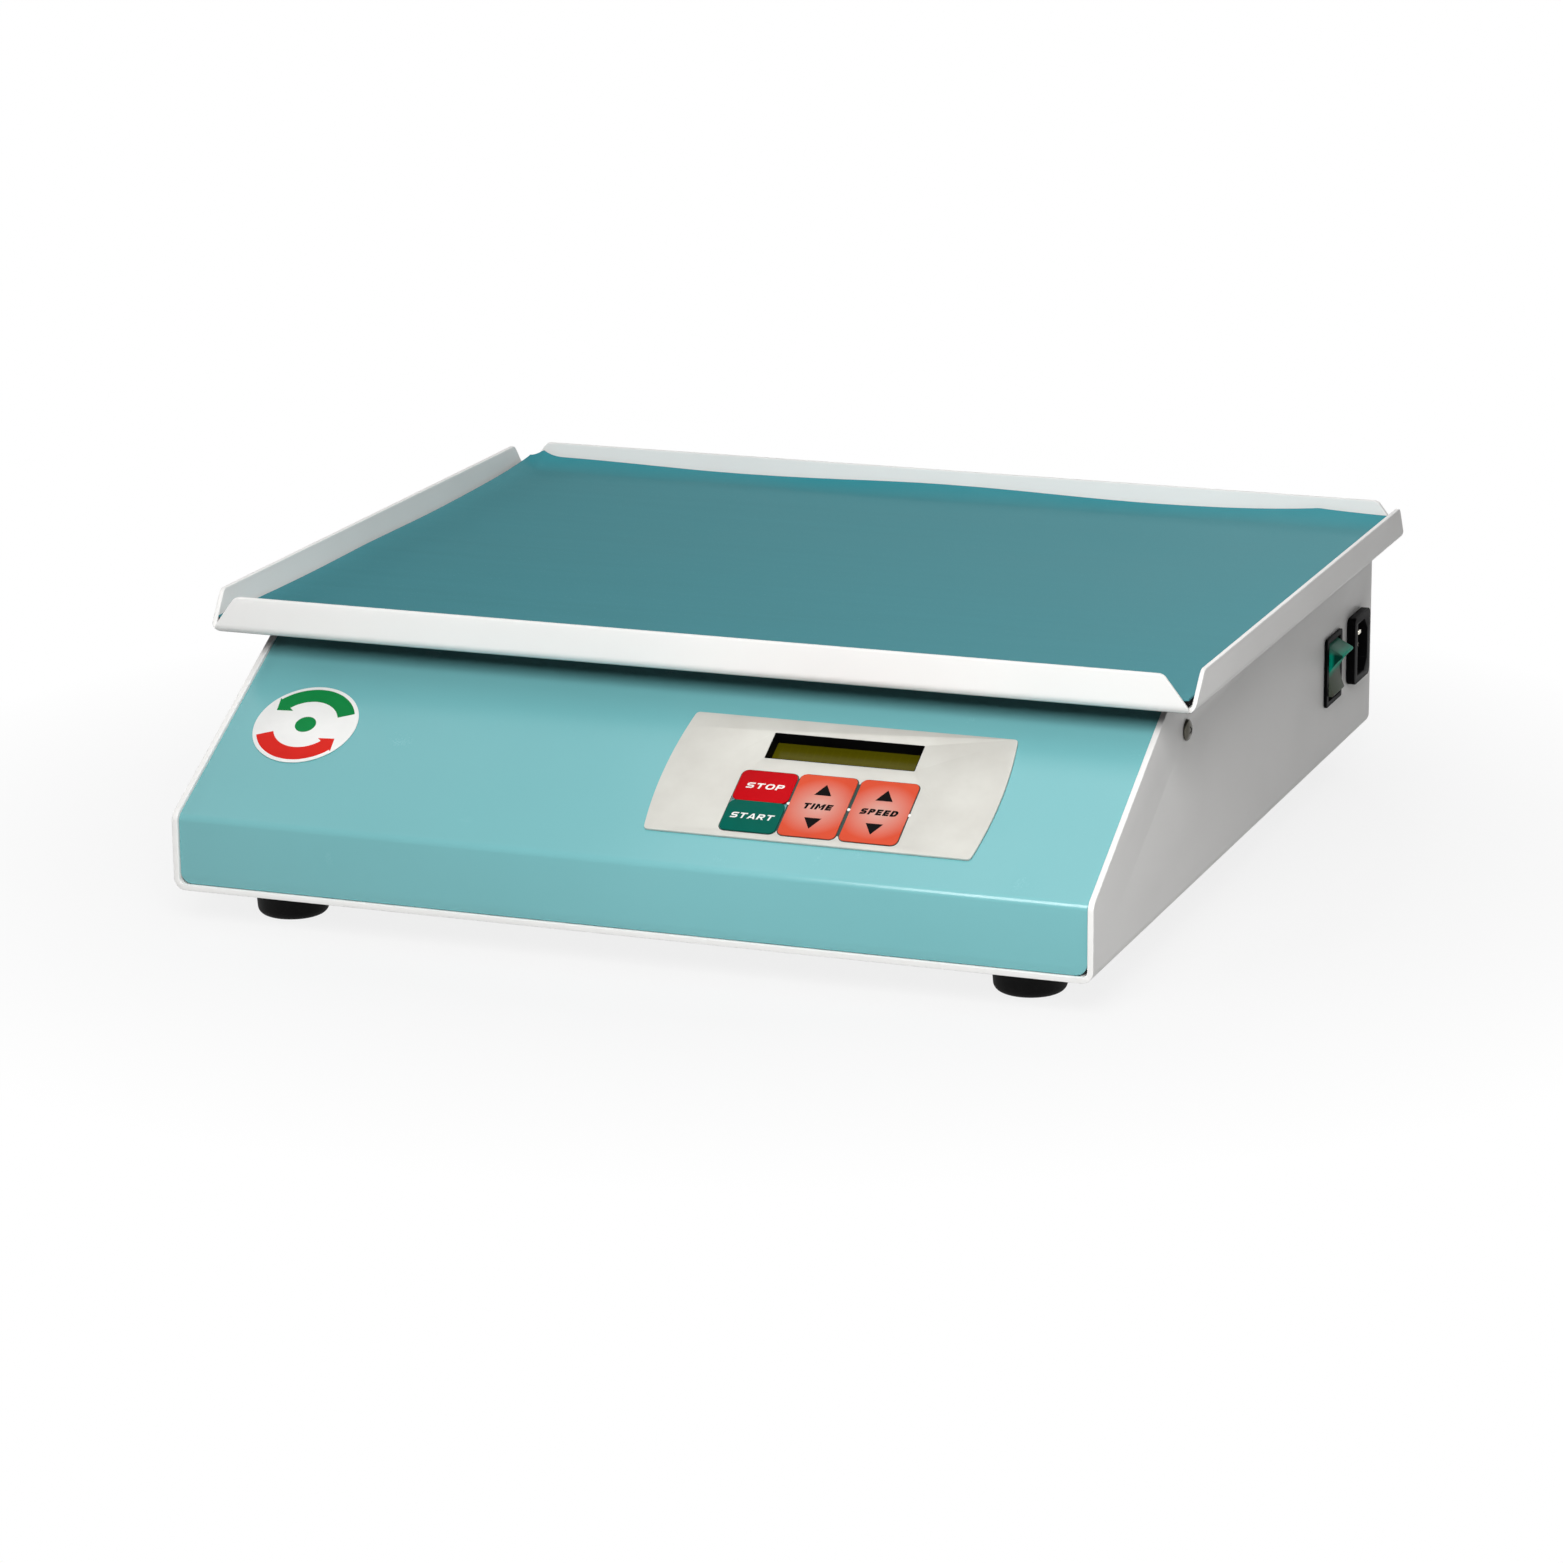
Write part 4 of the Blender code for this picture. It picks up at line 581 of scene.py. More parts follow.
def turned(name, profile, steps, place=None):
    """A profile of (radius, height) points turned round Z."""
    work = bmesh.new()
    points = [work.verts.new((radius, 0, height)) for radius, height in profile]
    edges = [work.edges.new(pair) for pair in zip(points, points[1:])]
    if profile[0][0] > 0:
        edges.append(work.edges.new((points[-1], points[0])))
    bmesh.ops.spin(work, geom=points + edges, cent=(0, 0, 0), axis=(0, 0, 1), angle=2 * pi, steps=steps,
                   use_merge=True, use_duplicate=False)
    return drafted(name, work, place)


def combined(item, tools, operation="DIFFERENCE"):
    """Cuts the tools off a piece, or joins them to it, and removes them."""
    for tool in tools:
        change = item.modifiers.new(tool.name, "BOOLEAN")
        change.object = tool
        change.operation = operation
        change.solver = "EXACT"
    settle(item)
    for tool in tools:
        bpy.data.objects.remove(tool, do_unlink=True)
    return item


def settle(item):
    """Turns what the modifiers make into the piece's own mesh."""
    bpy.context.view_layer.update()
    graph = bpy.context.evaluated_depsgraph_get()
    mesh = bpy.data.meshes.new_from_object(item.evaluated_get(graph), depsgraph=graph)
    item.modifiers.clear()
    item.data = mesh
    mesh.name = item.name
    return item


def eased(item, width, steps=2, angle=30):
    """Rounds the sharp edges a little, as paint and moulding do."""
    work = bmesh.new()
    work.from_mesh(item.data)
    bmesh.ops.remove_doubles(work, verts=work.verts, dist=0.000002)
    bmesh.ops.dissolve_limit(work, angle_limit=radians(0.5), verts=work.verts, edges=work.edges)
    work.to_mesh(item.data)
    work.free()
    bevel = item.modifiers.new("edges", "BEVEL")
    bevel.width = width
    bevel.segments = steps
    bevel.limit_method = "ANGLE"
    bevel.angle_limit = radians(angle)
    bevel.use_clamp_overlap = True
    return settle(item)


def shown(item, finish, body="chassis", hides=(), smooth=35):
    """The last step of every piece: its finish, its shading, the body that it rides on and the CAD parts that
    it hides.
    """
    if finish:
        item.data.materials.clear()
        item.data.materials.append(looks[finish])
    if smooth:
        item.data.shade_smooth()
        item.data.set_sharp_from_angle(angle=radians(smooth))
    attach(item, body)
    if hides:
        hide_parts(*hides)


# Geometry node trees

SOCKET_KINDS = {float: "Float", int: "Int", tuple: "Vector",
                bpy.types.Material: "Material", bpy.types.Object: "Object"}


class Growth(Recipe):
    """A geometry tree with a named input for each of its settings."""

    def __init__(self, name, **settings):
        super().__init__(bpy.data.node_groups.new(name, "GeometryNodeTree"))
        ports = self.tree.interface
        ports.new_socket("Geometry", in_out="OUTPUT", socket_type="NodeSocketGeometry")
        self.settings = {}
        for key, value in settings.items():
            port = ports.new_socket(key.replace("_", " ").title(), in_out="INPUT",
                                    socket_type="NodeSocket" + SOCKET_KINDS[type(value)])
            self.settings[port.identifier] = value
        sockets = self.tree.nodes.new("NodeGroupInput").outputs
        self.given = SimpleNamespace(**{key: Value(self, socket) for key, socket in zip(settings, sockets)})

    def faced(self, geometry, finish, **selection):
        return self.node("GeometryNodeSetMaterial", {"Geometry": geometry, "Material": finish, **selection})

    def grow(self, name, result):
        """The mesh that the tree makes of its settings, as a plain piece."""
        self.end("NodeGroupOutput", result)
        item = linked(name, bpy.data.meshes.new(name))
        change = item.modifiers.new("tree", "NODES")
        change.node_group = self.tree
        for key, value in self.settings.items():
            change[key] = value
        return settle(item)


def repeated(name, piece, places, finish):
    """One mesh with the piece on each of the places, which are matrices."""
    mesh = bpy.data.meshes.new(name + "_places")
    mesh.from_pydata([place.to_translation() for place in places], [], [])
    turns = mesh.attributes.new("turn", "FLOAT_VECTOR", "POINT")
    for row, place in zip(turns.data, places):
        row.vector = place.to_euler("XYZ")
    marks = linked(name + "_places", mesh)
    tree = Growth("pieces_on_places", places=marks, piece=piece, finish=looks[finish])
    points, instance = [tree.node("GeometryNodeObjectInfo", {"Object": item}, "Geometry")
                        for item in (tree.given.places, tree.given.piece)]
    turn = tree.node("GeometryNodeInputNamedAttribute", {"Name": "turn"}, "Attribute",
                     data_type="FLOAT_VECTOR")
    copies = tree.node("GeometryNodeInstanceOnPoints",
                       {"Points": points, "Instance": instance, "Rotation": turn})
    joined = tree.node("GeometryNodeRealizeInstances", {0: copies})
    made = tree.grow(name, tree.faced(joined, tree.given.finish))
    for spent in (marks, piece):
        bpy.data.objects.remove(spent, do_unlink=True)
    return made


# Casing

feet = [Matrix.Translation(spot) for spot in at_corners(FOOT_X, FOOT_Y)]
side_screws, rear_screws = [], []
for side in (-1, 1):
    spot = Matrix.Translation((side * wall_x, SIDE_SCREW_Y, SIDE_SCREW_Z))
    side_screws.append(spot @ Matrix.Rotation(side * pi / 2, 4, "Y"))
    spot = Matrix.Translation((side * REAR_SCREW_X, rear_y, REAR_SCREW_Z))
    rear_screws.append(spot @ Matrix.Rotation(-pi / 2, 4, "X"))


def casing_path(rear, start):
    """The casing seen from its side, from the rear over the top and the slope to the front."""
    return [(rear, start), (rear, cover_top), (front_y + SLOPE_RUN, cover_top),
            (front_y, pan_bottom + STRIP_HEIGHT), (front_y, start)]


def screw_hole(place, low, high=OVERRUN):
    return solid("hole", ring(SCREW_HOLE, 24), low, high, place=place)


def make_pan():
    half = PAN_DEPTH / 2
    top = cover_top + EDGE_PROUD + OVERRUN
    channel = [(-wall_x, top), (-wall_x, pan_bottom), (wall_x, pan_bottom), (wall_x, top)]
    end = half + OVERRUN
    pan = solid("pan_shell", sheet_outline(channel, PAN_BEND, PAN_SHEET), -end, end, "Y")
    samples = bent_path(casing_path(half - EDGE_PROUD, pan_bottom - OVERRUN), COVER_BEND)
    side = [point - normal * EDGE_PROUD for point, normal in samples]
    combined(pan, [solid("side_shape", side, -wall_x - OVERRUN, wall_x + OVERRUN, "X")], "INTERSECT")
    rear, radii = rear_y - COVER_SHEET - GAP, (0, 0, TAB_ROUND, TAB_ROUND)
    tabs = [rounded((sign * REAR_SCREW_X, 0.02725), TAB_WIDTH, 0.0195, radii) for sign in (-1, 1)]
    combined(pan, [solid("tab", tab, rear - PAN_SHEET, rear, "Y") for tab in tabs], "UNION")
    tools = [screw_hole(place, pan_bottom - OVERRUN, pan_floor + OVERRUN) for place in feet]
    for pair in zip(side_screws, rear_screws):
        tools += [screw_hole(place, -0.008) for place in pair]
    for node, width, height in (("switch_housing", 0.0226, 0.0290), ("inlet_housing", 0.0216, 0.0286)):
        low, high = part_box(node)
        opening = rounded(((low.y + high.y) / 2, (low.z + high.z) / 2), width, height)
        tools.append(solid("opening", opening, wall_x - 0.006, wall_x + OVERRUN, "X"))
    shown(eased(combined(pan, tools), 0.0005, 3), "white_paint", hides=["chassis_pan"])


def make_cover():
    half = wall_x - PAN_SHEET - GAP
    low = pan_floor + GAP
    shell = sheet_outline(casing_path(rear_y, low), COVER_BEND, COVER_SHEET)
    cover = solid("cover_shell", shell, -half, half, "X")
    tab = rounded((SIDE_SCREW_Y, 0.0903), TAB_WIDTH, 0.0208, (TAB_ROUND, TAB_ROUND, 0, 0))
    combined(cover, [solid("tab", tab, *sorted((sign * half, sign * (half - COVER_SHEET))), "X")
                     for sign in (-1, 1)], "UNION")
    tools = []
    for sign in (-1, 1):
        edge, under = sign * half, low - OVERRUN
        past = edge + sign * OVERRUN
        arc = corner_arc(Vector((edge, cover_top)), Vector((edge, low)), Vector((0, low)), COVER_CORNER, 10)
        shape = spots(arc)
        shape += [(edge - sign * COVER_CORNER, under), (past, under), (past, low + COVER_CORNER)]
        tools.append(solid("corner", shape, front_y - OVERRUN, rear_y + OVERRUN, "Y"))
    eased(combined(cover, tools), 0.0003)
    tools = []
    for sign, side_screw, rear_screw in zip((-1, 1), side_screws, rear_screws):
        tools += [screw_hole(side_screw, -0.012), screw_hole(rear_screw, -0.003)]
        for vent in range(VENTS):
            centre = (sign * VENT_X + (vent - (VENTS - 1) / 2) * VENT_PITCH, pan_bottom + 0.050)
            shape = rounded(centre, 0.0035, 0.028, 0.00174)
            tools.append(solid("vent", shape, rear_y - 0.004, rear_y + OVERRUN, "Y"))
    for spot in [(0, drive_y), *at_corners(axis_x, axis_y, drive_y)]:
        hole = ring(HUB_HOLE_RADIUS, 64, spot)
        tools.append(solid("hub_hole", hole, cover_top - 0.004, cover_top + OVERRUN))
    tools.append(solid("window", rounded(WINDOW, 0.0655, 0.0159), -0.004, OVERRUN, place=panel))
    shown(combined(cover, tools), "turquoise_paint", hides=["cover"])


# Feet and screws

def foot_piece():
    """A moulded foot with a thin brim under the pan."""
    arc = corner_arc(Vector((0.0055, 0)), Vector((0.0147, 0)), Vector((0.0160, 0.0142)), 0.0034, 8)
    profile = [(0.0055, 0.0)] + [(point.x, point.y) for point, normal in arc]
    profile += [(0.0158, 0.0138), (0.0162, 0.0143), (0.0169, 0.0147), (0.0170, 0.0151), (0.0170, 0.0157),
                (0.0023, 0.0157), (0.0023, 0.0070), (0.0055, 0.0070)]
    return turned("foot_shape", profile, 64)


def screw_piece(profile, recess, floor, top, wide=0.0009):
    """A turned screw. Its cross recess, from a floor to a top, narrows towards the floor."""
    arm, reach = wide / 2, recess / 2
    quarter = [Vector((arm, arm)), Vector((reach, arm)), Vector((reach, -arm))]
    outline = [Matrix.Rotation(-turn * pi / 2, 2) @ point for turn in range(4) for point in quarter]
    work = bmesh.new()
    low, high = [[work.verts.new((point.x * share, point.y * share, height)) for point in outline]
                 for height, share in ((floor, 0.6), (top, 1.0))]
    work.faces.new(low)
    work.faces.new(high)
    for step in range(len(outline)):
        work.faces.new((low[step - 1], low[step], high[step], high[step - 1]))
    return combined(turned("screw_shape", profile, 40), [drafted("recess", work)])


angles = [pi / 2 * step / 8 for step in range(9)]
DOME = [(0.0044 * sin(angle), 0.0024 * (0.3 + 0.7 * cos(angle))) for angle in angles]
PAN_HEAD = (DOME + [(0.0044, GAP), (0.0020, GAP), (0.0020, -0.0080), (0, -0.0080)], 0.0050, 0.0006, 0.0034)
COUNTERSUNK = ([(0, 0.0), (0.0036, 0.0), (0.0039, -0.0001), (0.0040, -0.0003), (0.0019, -0.0019),
                (0.0019, -0.0065), (0, -0.0065)], 0.0042, -0.0012, 0.0005)
CYLINDER_HEAD = ([(0, 0.0041), (0.0040, 0.0041), (0.0045, 0.0046), (0.0045, 0.0067), (0.0020, 0.0067),
                  (0.0020, 0.0225), (0, 0.0225)], 0.0052, 0.0056, 0.0035, 0.0010)


def make_fixings():
    sunk = map(Matrix.Translation, at_corners(axis_x, axis_y, tray_y, tray_floor - 0.0001))
    walls, tops = [
        [place @ Matrix.Rotation(angle, 4, "Z") for place, angle in zip(places, angles)]
        for places, angles in ((side_screws + rear_screws, (0.5, 0.5, -0.7, 0.7)),
                               (sunk, (-1.3, -0.5, 0.5, 1.3)))]
    cover_screws = ["side_screw_left", "side_screw_right", "rear_screw_left", "rear_screw_right"]
    feet_made = repeated("rubber_feet", foot_piece(), feet, "black_rubber")
    shown(feet_made, None, hides=each("foot_"), smooth=30)
    for name, shape, places, finish, body, hides in (
            ("foot_fixings", CYLINDER_HEAD, feet, "zinc", "chassis", each("foot_screw_")),
            ("cover_fixings", PAN_HEAD, walls, "dull_zinc", "chassis", cover_screws),
            ("tray_fixings", COUNTERSUNK, tops, "zinc", "platform", each("tray_screw_"))):
        shown(repeated(name, screw_piece(*shape), places, finish), None, body, hides, 30)


# Tray and mat

def make_tray():
    """One sheet with four lips, which are cut slanting at their ends and rounded at their tips."""
    samples = bent_path([(-TRAY_LIP, 0), (0, 0), (TRAY_LEAN, TRAY_LIP)], TRAY_BEND)[1:]
    rows = [(point, point + normal * TRAY_SHEET, 0.0) for point, normal in samples]
    top, bend = rows.pop(), rows[-1]
    peak, inwards = Vector((-TRAY_CORNER_CUT, TRAY_LIP)), Vector((-0.05, TRAY_LIP))
    for spot, normal in corner_arc(Vector((0, 0)), peak, inwards, TRAY_ROUND, 8):
        share = (spot.y - bend[0].y) / (TRAY_LIP - bend[0].y)
        trim = -TRAY_CORNER_CUT * spot.y / TRAY_LIP - spot.x
        rows.append((bend[0].lerp(top[0], share), bend[1].lerp(top[1], share), trim))
    work = bmesh.new()
    half = (TRAY_WIDTH / 2, TRAY_DEPTH / 2)
    floor_half = [size + rows[0][0].x for size in half]
    flats = [[work.verts.new((x * floor_half[0], y * floor_half[1], spot.y)) for x, y in block(-1, -1, 1, 1)]
             for spot in rows[0][:2]]
    for flat in flats:
        work.faces.new(flat)
    for side in range(4):
        axis, sign = (side + 1) % 2, -1 if side in (0, 3) else 1
        ends = last = [(flat[side], flat[(side + 1) % 4]) for flat in flats]
        for *faces, trim in rows[1:]:
            fresh = []
            for pair, spot, start in zip(ends, faces, rows[0]):
                rise = spot - start
                reach = floor_half[1 - axis] + rise.x - TRAY_CORNER_CUT * rise.y / TRAY_LIP - trim
                across = sign * (half[axis] + spot.x)
                alongs = [reach if vert.co[1 - axis] > 0 else -reach for vert in pair]
                fresh.append([work.verts.new((along, across, spot.y) if axis else (across, along, spot.y))
                              for along in alongs])
            for face in (0, 1):
                work.faces.new((last[face][0], last[face][1], fresh[face][1], fresh[face][0]))
                work.faces.new((last[0][face], last[1][face], fresh[1][face], fresh[0][face]))
            last = fresh
        work.faces.new((last[0][0], last[0][1], last[1][1], last[1][0]))
    tray = drafted("tray_shell", work, Matrix.Translation((0, tray_y, tray_bottom)))
    sink = [(0, -0.002), (0.0022, -0.002), (0.0022, 0), (0.0064, 0.004), (0, 0.004)]
    combined(tray, [turned("sink", sink, 40, Matrix.Translation(spot))
                    for spot in at_corners(axis_x, axis_y, tray_y, tray_bottom)])
    shown(eased(tray, 0.0006, 3, 32), "tray_paint", "platform", ["tray"])


def make_mat():
    """A rubber sheet in a shallow tray: it lies flat, and its edges and corners climb the lips in waves."""
    tree = Growth("mat_sheet", width=0.429, depth=0.330, backing=0.0017, facing=0.0008, edge_band=0.021,
                  rear_lift=0.0044, rear_wave=0.0009, right_hump=0.0016, tip_lift=0.0030, left_lift=0.0008,
                  corner_lift=0.0046, corner_reach=0.100, right_lift=0.0012, front_lift=0.0009, ripple=0.0004,
                  columns=290, rows=224, seed=4, place=(0.0, tray_y, tray_floor + GAP),
                  top=looks["mat_top"], under=looks["black_rubber"])
    given = tree.given
    grid = tree.node("GeometryNodeMeshGrid", {"Size X": given.width, "Size Y": given.depth,
                                              "Vertices X": given.columns, "Vertices Y": given.rows})
    x, y, z = tree.axes(tree.node("GeometryNodeInputPosition"))
    half_x, half_y = given.width / 2, given.depth / 2
    from_left, from_right = half_x + x, half_x - x
    from_front, from_rear = half_y + y, half_y - y
    band = given.edge_band

    def climb(near, reach):
        """One where the distance is nothing, and nothing from the reach on."""
        share = tree.maths("MAXIMUM", 1 - near / reach, 0.0)
        return share * share * share

    def hump(place, reach):
        return climb(tree.maths("ABSOLUTE", x - place), reach)

    def wave(along, length, shift=0.0):
        return tree.maths("COSINE", along * (2 * pi / length) + shift)

    def higher(first, second):
        return tree.maths("SMOOTH_MAX", first, second, 0.0009)

    rear = climb(from_rear, band) * (given.rear_lift + given.rear_wave * wave(x, 0.20) +
                                     given.right_hump * hump(0.178, 0.055))
    tip = climb(from_rear, 0.022) * hump(0.0085 - half_x, 0.013) * given.tip_lift
    corner = given.corner_lift * climb(from_rear, given.corner_reach)
    left = climb(from_left, band) * (given.left_lift * (1 + 0.25 * wave(y, 0.127, 0.8)) + corner +
                                     1.6 * given.left_lift * climb(from_front, 0.08))
    right = climb(from_right, band) * (given.right_lift * (1 + 0.3 * wave(y, 0.15, 2.0)))
    front = climb(from_front, band) * (given.front_lift * (1 + 0.4 * wave(x, 0.19, 1.0)))
    ripple = tree.node("ShaderNodeTexNoise", {"W": given.seed * 1.0, "Scale": 14.0, "Detail": 1.0},
                       noise_dimensions="4D")
    lift = higher(higher(rear + tip, left), higher(right, front)) + ripple * given.ripple
    shift = tree.node("ShaderNodeCombineXYZ", {0: corner * climb(from_left, band) * 0.35, 2: lift})
    sheet = tree.node("GeometryNodeSetPosition", {"Geometry": grid, "Offset": shift})
    flipped = tree.node("GeometryNodeFlipFaces", {"Mesh": sheet})
    out = tree.node("ShaderNodeCombineXYZ", {2: 1.0})

    def thicker(mesh, depth, **selection):
        values = {"Mesh": mesh, "Offset": out, "Offset Scale": depth, "Individual": False, **selection}
        return tree.node("GeometryNodeExtrudeMesh", values)

    backing = thicker(sheet, given.backing)
    facing = thicker(backing, given.facing, Selection=backing.sibling("Top"))
    sides = {0: facing.sibling("Top"), 1: facing.sibling("Side")}
    fresh = tree.node("FunctionNodeBooleanMath", sides, operation="OR")
    layers = tree.faced(tree.faced(facing, given.under), given.top, Selection=fresh)
    join = tree.node("GeometryNodeJoinGeometry")
    for part in (layers, tree.faced(flipped, given.under)):
        tree.tree.links.new(part.socket, join.socket.node.inputs[0])
    whole = tree.node("GeometryNodeMergeByDistance", {"Geometry": join, "Distance": 0.00001})
    moved = tree.node("GeometryNodeTransform", {"Geometry": whole, "Translation": given.place})
    mat = tree.grow("mat_sheet", tree.node("GeometryNodeRealizeInstances", {"Geometry": moved}))
    shown(mat, None, "platform", ["mat"], 50)


# Control panel

def layer(name, outline, low, high, finish, body="chassis", ease=0.0, holes=(), hides=(),
          cut=(0, 0.003)):
    """A flat piece on the panel, with holes right through it."""
    item = solid(name, outline, low, high)
    if holes:
        combined(item, [solid("hole", hole, *cut) for hole in holes])
    if ease:
        eased(item, ease)
    item.data.transform(panel)
    shown(item, finish, body, hides, 35 if ease else 0)


def overlay_outline():
    """A wide film whose two short sides bow outwards."""
    across, up, bow, steps = 0.0695, 0.0345, 0.0028, 24
    shares = [2 * step / steps - 1 for step in range(steps + 1)]
    right = [(across + bow * (1 - share ** 2), up * share) for share in shares]
    points = [(x + WINDOW[0], y + 0.0525) for x, y in right + [(-x, -y) for x, y in right]]
    radii = [0.0018 if index % (steps + 1) in (0, steps) else 0 for index in range(len(points))]
    return eased_polygon(points, radii, 6)


def key_outline(left, low, width, height, margin):
    """A key's outline, wider by a margin on every side."""
    centre = (left + width / 2, low + height / 2)
    return rounded(centre, width + 2 * margin, height + 2 * margin, KEY_CORNER + margin)


def make_overlay():
    tiles = TILES.values()
    holes = [rounded(WINDOW, 0.0647, 0.0151, 0.0004)] + [key_outline(*tile, 0.00025) for tile in tiles]
    layer("panel_film", overlay_outline(), 0.0002, FILM_TOP, "cream_film", ease=0.00012, holes=holes,
          hides=["keypad_overlay"], cut=(0, 0.002))
    for name, tile in TILES.items():
        layer(name + "_rim", key_outline(*tile, 0.00065), FILM_TOP - INK, FILM_TOP + 0.00004, "outline_ink",
              holes=[key_outline(*tile, 0.0003)])
    for name, left, width in (("first_gap", 0.0600, 0.0008), ("second_gap", 0.0856, 0.0014)):
        layer(name, rounded((left + width / 2, WORD_LINE), width, 0.0300, 0.0003), FILM_TOP - INK,
              FILM_TOP + INK, "outline_ink")
    layer("window_sleeve", rounded(WINDOW, 0.0646, 0.0150, 0.0004), -0.0052, FILM_TOP - 0.0001,
          "black_plastic", holes=[rounded(WINDOW, 0.0640, 0.0144, 0.0003)],
          cut=(-0.006, 0.003))
    for name, *spot in (("left", 0.0604, 0.0392), ("middle", 0.0863, 0.0388), ("right", 0.1120, 0.0388)):
        layer("mark_" + name, ring(0.00075, 24, spot), FILM_TOP, FILM_TOP + 0.0002, "white_ink", ease=0.00004)


def tile_skin(tile, way, sign):
    """Half of a two-way tile: a thin film piece over one half of the key, cut across by lines towards the
    middle.
    """
    left, low, width, height = TILES[tile]
    start = tile_middle if sign > 0 else low
    radii = (0, 0, KEY_CORNER, KEY_CORNER) if sign > 0 else (KEY_CORNER, KEY_CORNER, 0, 0)
    outline = rounded((left + width / 2, start + height / 4), width + 0.0004, height / 2 + 0.0002, radii)
    work = bmesh.new()
    pushed_out(work, [(x, y + sign * 0.0001, KEY_TOP) for x, y in outline], (0, 0, CAP_TOP - KEY_TOP))
    lines = 10
    for step in range(1, lines + 1):
        cut = tile_middle + sign * (0.0006 + 0.0036 * step / lines)
        bmesh.ops.bisect_plane(work, geom=work.verts[:] + work.edges[:] + work.faces[:], dist=0.0000001,
                               plane_co=(0, cut, 0), plane_no=(0, 1, 0))
    item = drafted(f"{tile}_{way}_skin", work, panel)
    item.data.materials.append(looks[tile + "_film"])
    stuck, fixed = [panel @ Vector((left + width / 2, tile_middle + sign * reach, KEY_TOP))
                    for reach in (0.0040, 0.0022)]
    tuple(stuck)
    tuple(fixed)
    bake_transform(item)


def letter_shapes(wide, tall):
    """Plain wide capitals: for each its width and its outlines, which touch but don't overlap."""
    pen = Vector((wide / 2, tall / 2))
    half, low = pen
    high = 1 - low
    stem = block(0, 0, wide, 1)
    foot = wide + 0.03
    bar = [(foot + (0.55 - foot) * y / 0.78, y) for y in (0.17, 0.17 + tall * 0.85)]
    bar += [(1.10 - x, y) for x, y in reversed(bar)]

    def stroke(points, radius):
        """The outline of a pen stroke along a path with round corners."""
        samples = bent_path(points, radius, 8)
        return [point + normal * pen for point, normal in samples] + \
               [point - normal * pen for point, normal in reversed(samples)]

    def bowl(right, under, radius):
        return stroke([(wide, high), (right, high), (right, under), (wide, under)], radius)

    leg = [(0, 0), (foot, 0), (0.55, 0.78), (0.55, 1), (0.42, 1)]
    return {
        "A": (1.10, [leg, [(1.10 - x, y) for x, y in reversed(leg)], bar]),
        "D": (1.02, [stem, bowl(1.02 - half, low, 0.3)]),
        "E": (0.88, [stem, block(wide, 0, 0.88, tall), block(wide, 0.5 - low, 0.80, 0.5 + low),
                     block(wide, 1 - tall, 0.88, 1)]),
        "I": (wide, [stem]),
        "M": (1.28, [[(0, 0), (wide, 0), (wide, 0.60), (0.64, 0.14), (1.28 - wide, 0.60), (1.28 - wide, 0),
                      (1.28, 0), (1.28, 1), (1.28 - wide, 1), (0.64, 0.52), (wide, 1), (0, 1)]]),
        "O": (1.08, [stroke([(near, 0.5), (near, y), (far, y), (far, 0.5)], 0.3)
                     for near, far, y in ((half, 1.08 - half, high), (1.08 - half, half, low))]),
        "P": (0.94, [stem, bowl(0.94 - half, 0.35 + low, 0.2)]),
        "R": (1.00, [stem, bowl(0.96 - half, 0.35 + low, 0.2),
                     [(0.40, 0.35), (0.96 - wide, 0), (1.00, 0), (0.70, 0.35)]]),
        "S": (0.98, [stroke([(0.92, high), (half, high), (half, 0.5), (0.98 - half, 0.5), (0.98 - half, low),
                             (0.06, low)], 0.18)]),
        "T": (0.98, [block(0, 1 - tall, 0.98, 1), block(0.49 - half, 0, 0.49 + half, 1 - tall)]),
    }


def words(name, text, spot, size, pen, finish, body="chassis"):
    """Printed slanted capitals on a key, centred on a spot, as wide and as high as the size says."""
    shapes = letter_shapes(*pen)
    space, slant = 0.22, 0.22
    length = sum(shapes[letter][0] for letter in text) + space * (len(text) - 1)
    work = bmesh.new()
    start = -length / 2
    for letter in text:
        width, outlines = shapes[letter]
        for outline in outlines:
            pushed_out(work, [((start + x) / length * size[0] + (y - 0.5) * size[1] * slant + spot[0],
                               (y - 0.5) * size[1] + spot[1], CAP_TOP) for x, y in outline], (0, 0, INK))
        start += width + space
    shown(drafted(name, work, panel, merge=False), finish, body, smooth=0)


def make_keys():
    left, low, width, height = TILES["command"]
    for name, start, tall, finish, text, length in (
            ("stop_key", 0.0388, 0.0168, "red_film", "STOP", 0.0160),
            ("start_key", TILE_LOW, 0.0169, "green_film", "START", 0.0182)):
        layer(name + "_cap", key_outline(left, start, width, tall, 0.0002), KEY_TOP, CAP_TOP, finish,
              name, 0.00009)
        words(name + "_word", text, (left + width / 2, start + tall / 2), (length, 0.0031), (0.25, 0.21),
              "white_ink", name)
    half, rise = 0.0037, 0.0031
    for name, length in (("time", 0.0122), ("speed", 0.0158)):
        middle = TILES[name][0] + TILE_WIDTH / 2
        for way, sign in (("up", 1), ("down", -1)):
            tile_skin(name, way, sign)
            line = WORD_LINE + sign * 0.0096
            foot, tip = line - sign * rise, line + sign * rise
            layer(f"{name}_{way}_arrow", [(middle - half, foot), (middle + half, foot), (middle, tip)],
                  CAP_TOP, CAP_TOP + INK, "black_ink", f"{name}_{way}_key")
        words(name + "_word", name.upper(), (middle, WORD_LINE), (length, 0.0033), (0.36, 0.29),
              "black_ink")


